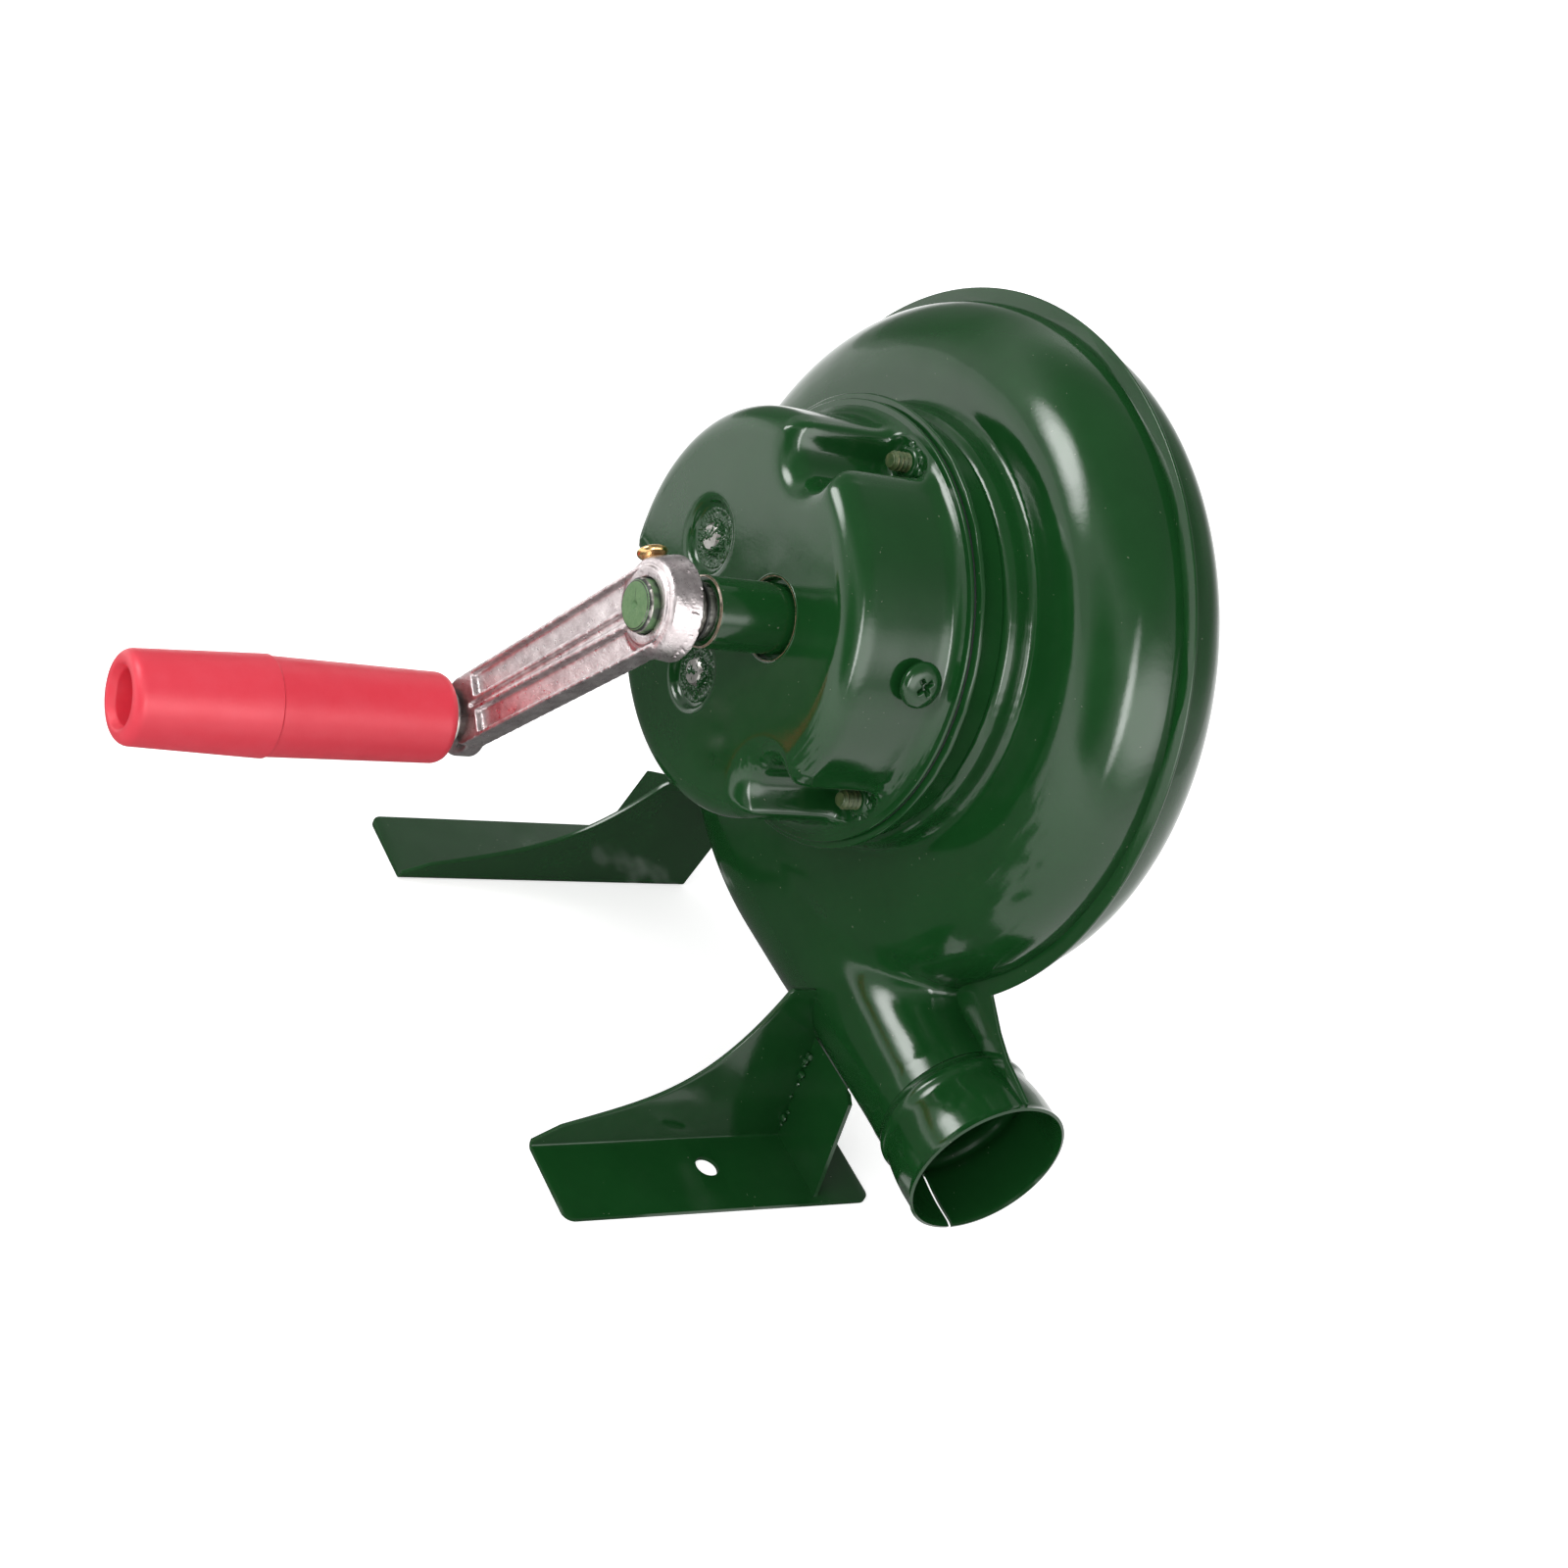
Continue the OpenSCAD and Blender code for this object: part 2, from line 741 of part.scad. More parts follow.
// Flank of one tooth from root to tip, as a list of radius and half angle
function flank(teeth) =
    let (pitch_r = teeth * pitch, base = pitch_r * cos(pressure_a),
        root = pitch_r - dedendum, tip = pitch_r + addendum,
        half = 90 / teeth - backlash / 4 / pitch_r * 180 / PI)
    [for (r = [root, max(root, base), (base + pitch_r) / 2, pitch_r, (pitch_r + tip) / 2, tip])
        [r, half + unwound(base, pitch_r) - unwound(base, r)]];

// Spur gear outline with its first tooth at the given angle
module teeth_outline(teeth, first) {
    side = flank(teeth);
    last = len(side) - 1;
    polygon([for (i = [0 : teeth - 1], k = [0 : 2 * last + 1])
        let (p = k <= last ? side[k] : side[2 * last + 1 - k],
            a = first + 360 * i / teeth + (k <= last ? -p[1] : p[1]))
        [p[0] * cos(a), p[0] * sin(a)]]);
}

// First tooth angle of a gear that meshes with another one at line angle a
function meshed(first, teeth, next_teeth, a) =
    a + 180 - (0.5 - (a - first) * teeth / 360) * 360 / next_teeth;

crank_first = 90;
crank_line_a = atan2(shaft_h + axle_ring * sin(axle_a_a) - crank_z, axle_ring * cos(axle_a_a) - crank_x);
pinion_a_first = meshed(crank_first, crank_teeth, pinion_a_teeth, crank_line_a);
wheel_a_first = 0;
line_ab = train_a + 90;
pinion_b_first = meshed(wheel_a_first, wheel_a_teeth, pinion_b_teeth, line_ab);
wheel_b_first = 0;
fan_first = meshed(wheel_b_first, wheel_b_teeth, pinion_teeth, axle_b_a + 180);

module crank_gear() {
    color(steel) on_crank() difference() {
        plate(crank_gear_y, crank_gear_y + gear_w) teeth_outline(crank_teeth, crank_first);
        bar(shaft_d / 2 + seat_gap, crank_gear_y - over, crank_gear_y + gear_w + over);
        key_seat(crank_gear_y - over, crank_gear_y + gear_w + over, seat_gap);
    }
}

module thrust_washer() {
    color(bronze) on_crank()
        tube(sleeve_d / 2, shaft_d / 2 + run_gap, crank_gear_y - side_gap - thrust_t,
            crank_gear_y - side_gap);
}

// Wheel that is pressed on the hub of its pinion
module idler_wheel(teeth, first, y0) {
    difference() {
        plate(y0, y0 + wheel_t) teeth_outline(teeth, first);
        bar(idler_hub_r + seat_gap, y0 - over, y0 + wheel_t + over);
        for (a = [30 : 60 : 330])
            rotate([0, -a, 0]) translate([(idler_hub_r + teeth * pitch) / 2, 0, 0])
                bar(teeth * pitch / 7, y0 - over, y0 + wheel_t + over);
    }
}

// Pinion with a smooth hub for its wheel, turning on a fixed axle
module idler_pinion(teeth, first, y0, y1, hub0, hub1) {
    difference() {
        union() {
            plate(y0, y1) teeth_outline(teeth, first);
            bar(idler_hub_r, hub0, hub1);
        }
        bar(axle_d / 2 + run_gap, min(y0, hub0) - over, max(y1, hub1) + over);
    }
}

module wheel_a() {
    color(steel) around_shaft(axle_ring, axle_a_a)
        idler_wheel(wheel_a_teeth, wheel_a_first, layer_2_y);
}

module pinion_a() {
    color(steel) around_shaft(axle_ring, axle_a_a)
        idler_pinion(pinion_a_teeth, pinion_a_first, crank_gear_y - pinion_over,
            crank_gear_y + gear_w + pinion_over, crank_gear_y + gear_w + pinion_over,
            layer_2_y + wheel_t + pinion_over);
}

module wheel_b() {
    color(steel) around_shaft(axle_ring, axle_b_a)
        idler_wheel(wheel_b_teeth, wheel_b_first, layer_3_y);
}

module pinion_b() {
    color(steel) around_shaft(axle_ring, axle_b_a)
        idler_pinion(pinion_b_teeth, pinion_b_first, layer_2_y - pinion_over,
            layer_2_y + wheel_t + pinion_over, layer_2_y + wheel_t + pinion_over,
            layer_3_y + wheel_t + pinion_over);
}

// Fixed axle, peened over in the cover's recess and in the base's boss
module axle() {
    head_y = face_y + recess_h - seat_gap;
    bar(axle_d / 2, head_y, seat_y - 0.2);
    taper(axle_head_r - 1, axle_head_r, head_y - axle_head_h, head_y - axle_head_h + 1);
    bar(axle_head_r, head_y - axle_head_h + 1, head_y);
}

module axle_a() {
    color(steel) around_shaft(axle_ring, axle_a_a) axle();
}

module axle_b() {
    color(steel) around_shaft(axle_ring, axle_b_a) axle();
}

// Front and rear spacers that keep an idler in its layer
module spacers(front, back) {
    cover_inside = face_y + recess_h + sheet_t + seat_gap;
    boss_y = seat_y - sheet_t - axle_boss_h - seat_gap;
    tube(spacer_r, axle_d / 2 + seat_gap, cover_inside, front - side_gap);
    tube(spacer_r, axle_d / 2 + seat_gap, back + side_gap, boss_y);
}

module spacers_a() {
    color(bronze) around_shaft(axle_ring, axle_a_a)
        spacers(crank_gear_y - pinion_over, layer_2_y + wheel_t + pinion_over);
}

module spacers_b() {
    color(bronze) around_shaft(axle_ring, axle_b_a)
        spacers(layer_2_y - pinion_over, layer_3_y + wheel_t + pinion_over);
}

module fan_shaft() {
    thread_y = fan_hub_y + fan_hub_h;
    color(steel) on_shaft() {
        bar(fan_shaft_d / 2, layer_3_y + gear_w + pinion_over, thread_y);
        bar(fan_thread_d / 2, thread_y, fan_shaft_back);
        bar(pinion_seat_r, layer_3_y - pinion_over, layer_3_y + gear_w + pinion_over);
    }
}

module fan_pinion() {
    color(steel) on_shaft() difference() {
        plate(layer_3_y - pinion_over, layer_3_y + gear_w) teeth_outline(pinion_teeth, fan_first);
        bar(pinion_seat_r + seat_gap, layer_3_y - over, layer_3_y + gear_w + over);
    }
}

module bearing_tube() {
    flange_front = seat_y + sheet_t + seat_gap;
    color(steel) difference() {
        on_shaft() union() {
            bar(bearing_r, bearing_front, bearing_back);
            bar(bearing_flange_r, flange_front, flange_front + bearing_flange_t);
        }
        on_shaft() bar(fan_shaft_d / 2 + bush_t + seat_gap, bearing_front - over, bearing_back + over);
        bearing_screw_holes(flange_front - over, flange_front + bearing_flange_t + over);
    }
}

module fan_bushes() {
    color(bronze) on_shaft() {
        for (y0 = [bearing_front, bearing_back - bush_l])
            tube(fan_shaft_d / 2 + bush_t, fan_shaft_d / 2 + run_gap, y0, y0 + bush_l);
    }
}

module bearing_screws() {
    head_back = seat_y - sheet_t - seat_gap;
    nut_y = seat_y + sheet_t + bearing_flange_t + 2 * seat_gap;
    color(steel) for (a = bearing_screw_angles)
        around_shaft(bearing_screw_ring, a) {
            taper(2.6, 3.6, head_back - 2.6, head_back);
            bar(bearing_screw_d / 2, head_back, nut_y + 4);
            translate([0, nut_y, 0]) rotate([-90, 0, 0]) cylinder(r = 4, h = 3, $fn = 6);
        }
}

module fan_hub() {
    flange = 2.5;
    color(steel) on_shaft() difference() {
        union() {
            bar(hub_r, fan_hub_y, fan_hub_y + fan_hub_h);
            bar(hub_r + 8, fan_hub_y, fan_hub_y + flange - seat_gap);
        }
        bar(fan_shaft_d / 2 + seat_gap, fan_hub_y - over, fan_hub_y + fan_hub_h + over);
    }
}

module fan_disc() {
    color(steel) on_shaft() tube(fan_r, hub_r + seat_gap, fan_disc_y, fan_disc_y + fan_disc_t);
}

// Arc that trails the turn, from the blade's root to its tip, of a given thickness
module blade_arc(thick) {
    intersection() {
        rotate(blade_trail_a) translate([blade_start_x, -blade_bend_r]) difference() {
            circle(blade_bend_r + thick);
            circle(blade_bend_r);
        }
        difference() {
            circle(fan_r);
            circle(blade_root_r);
        }
        translate([0, -blade_bend_r]) square([far, 2 * blade_bend_r]);
    }
}

module fan_blades() {
    y0 = fan_disc_y + fan_disc_t + seat_gap;
    color(steel) on_shaft() for (i = [0 : blades - 1])
        rotate([0, -i * 360 / blades, 0]) {
            plate(y0, y0 + blade_w) blade_arc(blade_t);
            plate(y0, y0 + blade_t) blade_arc(blade_foot);
        }
}

module fan_washer() {
    y0 = fan_hub_y + fan_hub_h + seat_gap;
    color(steel) on_shaft() tube(fan_shaft_d / 2 + 4, fan_thread_d / 2 + seat_gap, y0, y0 + washer_t);
}

module fan_nut() {
    y0 = fan_hub_y + fan_hub_h + 2 * seat_gap + washer_t;
    color(steel) on_shaft() difference() {
        translate([0, y0, 0]) rotate([-90, 0, 0]) cylinder(r = fan_thread_d * 0.92, h = fan_nut_h, $fn = 6);
        bar(fan_thread_d / 2 + seat_gap, y0 - over, y0 + fan_nut_h + over);
    }
}

// Place at the handle's end of the arm
module on_handle() {
    on_crank() translate([crank_r * cos(crank_a), 0, crank_r * sin(crank_a)]) children();
}

// Outline of the arm's bar, from the shaft along +X, drawn flat
module arm_outline(inset) {
    root_w = 2 * boss_r - 6;
    polygon([[boss_r - 4, root_w / 2 - inset], [crank_r - 4, arm_w / 2 - inset],
        [crank_r - 4, inset - arm_w / 2], [boss_r - 4, inset - root_w / 2]]);
}

module crank_arm() {
    channel = 3;
    rim = 3.5;
    ridge_w = 3;
    color("lightgray") difference() {
        union() {
            on_crank() taper(boss_r - 1.7, boss_r, boss_front, boss_back);
            on_handle() bar(end_boss_r, arm_front, arm_back);
            on_crank() rotate([0, -crank_a, 0]) rotate([0, 0, -arm_tilt]) difference() {
                plate(boss_back - arm_t - 2, boss_back - 2) arm_outline(0);
                plate(boss_back - arm_t - 3, boss_back - arm_t - 2 + channel)
                    difference() {
                        intersection() {
                            arm_outline(rim);
                            translate([boss_r + 2, -far]) square([crank_r - boss_r - end_boss_r - 4, 2 * far]);
                        }
                        translate([0, -ridge_w / 2]) square([crank_r, ridge_w]);
                    }
            }
        }
        on_crank() bar(shaft_d / 2 + seat_gap, boss_front - over, boss_back + over);
        on_set_screw() cylinder(d = set_screw_d + 2 * seat_gap, h = boss_r + over);
        on_handle() bar(spindle_d / 2 + seat_gap, arm_front - over, arm_back + over);
    }
}

module crank_washer() {
    color(steel) on_crank()
        tube(shaft_d / 2 + 4, shaft_d / 2 + seat_gap, boss_back + seat_gap, boss_back + seat_gap + washer_t);
}

// Place along the set screw, which stands square to the arm
module on_set_screw() {
    on_crank() translate([0, (boss_front + boss_back) / 2, 0]) rotate([0, 180 - crank_a, 0]) children();
}

module set_screw() {
    seat = shaft_d / 2 + seat_gap;
    head = boss_r + 0.2;
    color("goldenrod") on_set_screw() difference() {
        union() {
            translate([0, 0, seat]) cylinder(d = set_screw_d, h = head - seat);
            translate([0, 0, head]) cylinder(d1 = set_head_d, d2 = set_head_d * 0.7, h = set_head_h);
        }
        translate([-set_head_d, -0.5, head + set_head_h - 1.2]) cube([2 * set_head_d, 1, 2]);
    }
}

module handle_spindle() {
    nut_front = web_front - side_gap - washer_t - end_nut_h - 2;
    color(steel) on_handle() {
        taper(spindle_head_r, spindle_head_r - 1.5, arm_back + seat_gap, arm_back + spindle_head_h);
        bar(spindle_d / 2, web_front - side_gap, arm_back + seat_gap);
        bar(spindle_end_d / 2, nut_front, web_front - side_gap);
    }
}

module handle_washer() {
    color(steel) on_handle()
        tube(spindle_head_r + 2, spindle_d / 2 + seat_gap, arm_front - seat_gap - washer_t, arm_front - seat_gap);
}

module handle_grip() {
    step_y = grip_front + grip_step_l;
    color("crimson") on_handle() difference() {
        union() {
            revolve() {
                pan_profile(grip_r, grip_front, step_y, grip_round);
                translate([0, step_y - over]) square([grip_r - grip_step, grip_back - step_y + over - 1]);
            }
            taper(grip_r - grip_step, grip_r - grip_step - 1, grip_back - 1, grip_back);
        }
        bar(grip_hole_r, grip_front - over, web_front);
        bar(spindle_d / 2 + run_gap, web_front - over, grip_back + over);
    }
}

module end_washer() {
    y1 = web_front - side_gap - seat_gap;
    color(steel) on_handle()
        tube(grip_hole_r - side_gap - 0.4, spindle_end_d / 2 + seat_gap, y1 - washer_t, y1);
}

module end_nut() {
    y1 = web_front - side_gap - 2 * seat_gap - washer_t;
    color(steel) on_handle() difference() {
        translate([0, y1, 0]) rotate([90, 0, 0]) cylinder(r = nut_corner_r, h = end_nut_h, $fn = 6);
        bar(spindle_end_d / 2 + seat_gap, y1 - end_nut_h - over, y1 + over);
    }
}

front_casing();
rear_casing();
left_foot();
right_foot();
left_gusset();
right_gusset();
gear_base();
gasket();
gear_cover();
cover_screws();
oil_screw();
oil_screw_nut();
shaft_sleeve();
crank_shaft();
crank_gear();
crank_key();
thrust_washer();
axle_a();
wheel_a();
pinion_a();
spacers_a();
axle_b();
wheel_b();
pinion_b();
spacers_b();
fan_shaft();
fan_pinion();
bearing_tube();
fan_bushes();
bearing_screws();
fan_hub();
fan_disc();
fan_blades();
fan_washer();
fan_nut();
crank_arm();
crank_washer();
set_screw();
handle_spindle();
handle_washer();
handle_grip();
end_washer();
end_nut();
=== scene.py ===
# %% [markdown]
# # A hand crank forge blower
#
# The blower is a snail casing of two pressed sheet steel halves on two welded
# feet, with a gear case and a crank in front. A CAD program has made every
# part to size. This script keeps that model as a fixed frame and gives it the
# skin of the real thing: soft pressed edges, thick glossy enamel, a rough
# casting, threads and a moulded plastic grip.
#
# Every length of the blower is in millimetres and becomes metres at the very
# end of a piece, because bevels and profiles are easier to think about that
# way. The studio round it is in metres.

# %% Load the CAD model as the frame
import json
import math

import bmesh
import bpy
from mathutils import Matrix, Vector, noise
from mathutils.bvhtree import BVHTree


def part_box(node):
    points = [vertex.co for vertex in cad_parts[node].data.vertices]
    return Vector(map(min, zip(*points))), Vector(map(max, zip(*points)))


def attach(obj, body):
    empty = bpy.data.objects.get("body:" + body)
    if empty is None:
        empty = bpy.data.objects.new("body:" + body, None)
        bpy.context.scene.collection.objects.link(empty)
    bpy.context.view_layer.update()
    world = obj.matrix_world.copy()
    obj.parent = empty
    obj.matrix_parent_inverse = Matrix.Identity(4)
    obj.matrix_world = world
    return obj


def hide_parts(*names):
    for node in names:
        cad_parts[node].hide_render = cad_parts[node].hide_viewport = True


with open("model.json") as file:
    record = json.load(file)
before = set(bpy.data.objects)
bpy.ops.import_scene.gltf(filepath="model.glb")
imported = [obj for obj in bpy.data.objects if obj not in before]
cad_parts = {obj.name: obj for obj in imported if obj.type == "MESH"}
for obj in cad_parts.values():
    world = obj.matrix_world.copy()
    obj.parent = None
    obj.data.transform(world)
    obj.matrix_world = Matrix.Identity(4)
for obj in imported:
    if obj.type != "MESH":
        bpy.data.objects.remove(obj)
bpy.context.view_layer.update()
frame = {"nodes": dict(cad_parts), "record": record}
scene = bpy.context.scene

# %% [markdown]
# ## Camera
#
# The photograph looks down on the front right of the blower and is rolled
# sideways. The camera's place and its three axes were worked out from points
# whose place on the object is known, such as the corners of the feet. A matrix
# made of the three axes says all of it at once, where angles would need care.

# %% Put the camera where the photographer stood
camera_right = Vector((0.4228, 0.8086, 0.4091))
camera_up = Vector((-0.6496, -0.0444, 0.7590))
camera_back = Vector((0.6319, -0.5866, 0.5065))
lens = bpy.data.cameras.new("photo_camera")
lens.lens = 58.39
lens.sensor_width = 36
camera = bpy.data.objects.new("photo_camera", lens)
camera.matrix_world = Matrix.Translation((0.5196, -0.4628, 0.5165)) @ Matrix(
    (camera_right, camera_up, camera_back)).transposed().to_4x4()
scene.collection.objects.link(camera)
scene.camera = camera
scene.view_settings.view_transform = "Standard"
print("camera distance in metres:", round(camera.location.length, 3))

# %% [markdown]
# ## Mesh helpers
#
# Most parts here are turned on a lathe or pressed, so a half profile spun
# round an axis makes them. A corner of the profile is rounded before the spin
# by bevelling its vertex, which is cheaper and cleaner than bevelling the
# finished rings.

# %% Draw a profile and spin it
MM = 0.001
SHAFT_Z = 165.2
SHAFT = Vector((0, 0, SHAFT_Z))
ALONG = {"X": Vector((1, 0, 0)), "Y": Vector((0, 1, 0)), "Z": Vector((0, 0, 1))}


def draw_line(bm, points, closed=False):
    """Chain of edges through (place, rounding) pairs, with rounded corners."""
    corners = [bm.verts.new(place) for place, _ in points]
    ends = corners[1:] + corners[:1] if closed else corners[1:]
    for a, b in zip(corners, ends):
        bm.edges.new((a, b))
    for corner, (_, rounding) in zip(corners, points):
        if rounding:
            bmesh.ops.bevel(bm, geom=[corner], offset=rounding, offset_type="OFFSET",
                            segments=6 if rounding < 6 else 12, profile=0.5,
                            affect="VERTICES", clamp_overlap=False, material=-1)


def turned(profile, centre=SHAFT, axis="Y", steps=96, sweep=360, start=0, closed=False):
    """Solid turned from (radius, place along the axis, rounding) points."""
    bm = bmesh.new()
    side = ALONG["X"] if axis == "Y" else ALONG["Y"]
    line = [(side * p[0] + ALONG[axis] * p[1], p[2] if len(p) > 2 else 0) for p in profile]
    draw_line(bm, line, closed)
    bmesh.ops.rotate(bm, verts=bm.verts, matrix=Matrix.Rotation(math.radians(start), 3, axis))
    bmesh.ops.spin(bm, geom=bm.verts[:] + bm.edges[:], axis=ALONG[axis], cent=(0, 0, 0),
                   angle=math.radians(sweep), steps=steps, use_merge=sweep == 360)
    bmesh.ops.remove_doubles(bm, verts=bm.verts, dist=0.0005)
    bmesh.ops.recalc_face_normals(bm, faces=bm.faces)
    bmesh.ops.translate(bm, verts=bm.verts, vec=centre)
    return bm


def bar(radius, y0, y1, centre):
    """Plain round bar along Y."""
    return turned([(0, y0), (radius, y0), (radius, y1), (0, y1)], centre, steps=48)


def round_shaft(distance, angle):
    """X and Z at a distance and direction from the shaft, seen from the crank."""
    a = math.radians(angle)
    return distance * math.cos(a), SHAFT_Z + distance * math.sin(a)


def centre_of(name):
    """Middle of a CAD node, in millimetres."""
    low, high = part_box(name)
    return (Vector(low) + Vector(high)) / (2 * MM)


def ends_of(name):
    """Front and back of a CAD node along Y, in millimetres."""
    low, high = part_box(name)
    return low[1] / MM, high[1] / MM


CRANK = centre_of("shaft_sleeve") * Vector((1, 0, 1))
HANDLE = centre_of("handle_grip") * Vector((1, 0, 1))
AXLES = [centre_of(name) * Vector((1, 0, 1)) for name in ("axle_a", "axle_b")]
print("crank shaft lies beside the fan shaft by", [round(n, 2) for n in CRANK - SHAFT], "mm")

# %% [markdown]
# Castings and deep pressings have no sharp inside corners. Boolean modifiers
# join and cut the plain solids first. A voxel remesh then lays one even skin
# over the result, and a few rounds of smoothing melt its corners, as a press
# or a mould does.

# %% Melt solids into one soft skin


def as_object(bm, name):
    """Object in the scene with the mesh of a bmesh, which is used up."""
    mesh = bpy.data.meshes.new(name)
    bm.to_mesh(mesh)
    bm.free()
    obj = bpy.data.objects.new(name, mesh)
    scene.collection.objects.link(obj)
    return obj


def baked(obj):
    """bmesh of an object after its modifiers. The object is used up."""
    graph = bpy.context.evaluated_depsgraph_get()
    mesh = bpy.data.meshes.new_from_object(obj.evaluated_get(graph))
    done = bmesh.new()
    done.from_mesh(mesh)
    bpy.data.meshes.remove(mesh)
    bpy.data.meshes.remove(obj.data)
    return done


def joined(*parts):
    """One bmesh of several, each of which is used up."""
    whole = parts[0]
    for part in parts[1:]:
        mesh = bpy.data.meshes.new("joint")
        part.to_mesh(mesh)
        whole.from_mesh(mesh)
        part.free()
        bpy.data.meshes.remove(mesh)
    return whole


def shaped(bm, cutters=(), voxel=0, rounds=0):
    """bm after cutting, remeshing and smoothing by modifiers. bm and the cutters are used up."""
    obj = as_object(bm, "work")
    tools = [as_object(cutter, "tool") for cutter in cutters]
    for tool in tools:
        cut = obj.modifiers.new("cut", "BOOLEAN")
        cut.operation = "DIFFERENCE"
        cut.solver = "EXACT"
        cut.object = tool
    if voxel:
        skin = obj.modifiers.new("skin", "REMESH")
        skin.mode = "VOXEL"
        skin.voxel_size = voxel
    if rounds:
        soft = obj.modifiers.new("soft", "SMOOTH")
        soft.factor = 0.5
        soft.iterations = rounds
    done = baked(obj)
    for tool in tools:
        bpy.data.meshes.remove(tool.data)
    return done


def verts_of(result):
    """Vertices that a bmesh operator has made."""
    return [v for v in result["geom"] if isinstance(v, bmesh.types.BMVert)]


def cut_off(bm, point, normal):
    """Remove what lies beyond a plane, on the side its normal points to."""
    bmesh.ops.bisect_plane(bm, geom=bm.verts[:] + bm.edges[:] + bm.faces[:], dist=0.001,
                           plane_co=point, plane_no=normal, clear_outer=True)


def melted(bm, chosen, rounds, axes="XYZ"):
    """Smooth the vertices that chosen picks, to widen the fillets there."""
    picked = [v for v in bm.verts if chosen(v.co)]
    for _ in range(rounds):
        bmesh.ops.smooth_vert(bm, verts=picked, factor=0.5, use_axis_x="X" in axes,
                              use_axis_y="Y" in axes, use_axis_z="Z" in axes)


def blob(place, size, stretch=(1, 1, 1), seed=0.0):
    """Lump of paint or weld metal."""
    lump = bmesh.new()
    bmesh.ops.create_icosphere(lump, subdivisions=3, radius=size)
    for v in lump.verts:
        v.co *= 1 + 0.35 * noise.noise(v.co * 1.3 / size + Vector((seed, 0, 0)))
    bmesh.ops.scale(lump, vec=stretch, verts=lump.verts)
    bmesh.ops.translate(lump, verts=lump.verts, vec=place)
    return lump


def open_round(bm, radius, y0, y1, x=0, z=SHAFT_Z):
    """Remove the faces inside a round bar along Y."""
    inside = [f for f in bm.faces if y0 < f.calc_center_median().y < y1 and
              math.hypot(f.calc_center_median().x - x, f.calc_center_median().z - z) < radius]
    bmesh.ops.delete(bm, geom=inside, context="FACES")


def walled(bm, thickness):
    """Give an open skin its sheet thickness, inwards."""
    bmesh.ops.recalc_face_normals(bm, faces=bm.faces)
    obj = as_object(bm, "wall")
    wall = obj.modifiers.new("wall", "SOLIDIFY")
    wall.thickness = thickness
    wall.offset = -1
    return baked(obj)


# %% [markdown]
# ## Node groups
#
# Paint, plastic and cast metal share a few effects. Each is a node group with
# named inputs, so that a material only says how strong and how fine it is.
# All of them read Object coordinates: the pattern then stays on the piece
# when the crank turns.

# %% Build a node group from a short description


def new_group(name, inputs, outputs):
    """Empty node group, with the sockets that it is given and those that it fills."""
    group = bpy.data.node_groups.new(name, "ShaderNodeTree")
    for label, kind, value in inputs:
        socket = group.interface.new_socket(name=label, in_out="INPUT", socket_type=kind)
        if value is not None:
            socket.default_value = value
    for label, kind in outputs:
        group.interface.new_socket(name=label, in_out="OUTPUT", socket_type=kind)
    nodes = group.nodes
    return group, nodes.new("NodeGroupInput").outputs, nodes.new("NodeGroupOutput").inputs


def node(tree, kind, links=(), **values):
    """A shader node with its settings, and its sockets linked or set by (name, source) pairs."""
    made = tree.nodes.new("ShaderNode" + kind)
    for key, value in values.items():
        setattr(made, key, value)
    for socket, source in links:
        if isinstance(source, bpy.types.NodeSocket):
            tree.links.new(source, made.inputs[socket])
        else:
            made.inputs[socket].default_value = source
    return made


def maths(tree, operation, *values, clamp=False):
    """Result of a math node on up to three numbers or sockets."""
    return node(tree, "Math", enumerate(values), operation=operation, use_clamp=clamp).outputs[0]


def mixed(tree, mask, below, above):
    """A colour or value where mask is 1, over another."""
    kind, first, result = ("FLOAT", 2, 0) if isinstance(above, float) else ("RGBA", 6, 2)
    return node(tree, "Mix", [("Factor", mask), (first, below), (first + 1, above)],
                data_type=kind).outputs[result]


FLOAT, COLOUR, POINT = "NodeSocketFloat", "NodeSocketColor", "NodeSocketVector"

# %% Cloudy variation between two colours
clouds, given, out = new_group("Clouds", [
    ("Vector", POINT, None), ("Scale", FLOAT, 30.0), ("Light", COLOUR, (1, 1, 1, 1)),
    ("Dark", COLOUR, (0, 0, 0, 1)), ("Contrast", FLOAT, 1.0)], [("Color", COLOUR)])
cloud = node(clouds, "TexNoise", [("Vector", given["Vector"]), ("Scale", given["Scale"]),
             ("Detail", 5.0), ("Roughness", 0.6)])
centred = maths(clouds, "SUBTRACT", cloud.outputs[0], 0.5)
scaled = maths(clouds, "MULTIPLY_ADD", centred, given["Contrast"], 0.5, clamp=True)
clouds.links.new(mixed(clouds, scaled, given["Dark"], given["Light"]), out["Color"])

# %% Small chips, as a mask
chips, given, out = new_group("Chips", [
    ("Vector", POINT, None), ("Scale", FLOAT, 300.0), ("Amount", FLOAT, 0.1)], [("Mask", FLOAT)])
warp = node(chips, "TexNoise", [("Vector", given["Vector"]), ("Scale", 900.0)])
shift = node(chips, "VectorMath", [(0, warp.outputs["Color"]), (1, (0.5, 0.5, 0.5))],
             operation="SUBTRACT")
push = node(chips, "VectorMath", [(0, shift.outputs[0]), ("Scale", 0.0015)], operation="SCALE")
moved = node(chips, "VectorMath", [(0, given["Vector"]), (1, push.outputs[0])],
             operation="ADD")
cells = node(chips, "TexVoronoi", [("Vector", moved.outputs[0]), ("Scale", given["Scale"])])
rare = node(chips, "TexNoise", [("Vector", given["Vector"]), ("Scale", 60.0)])
near = maths(chips, "LESS_THAN", cells.outputs["Distance"], given["Amount"])
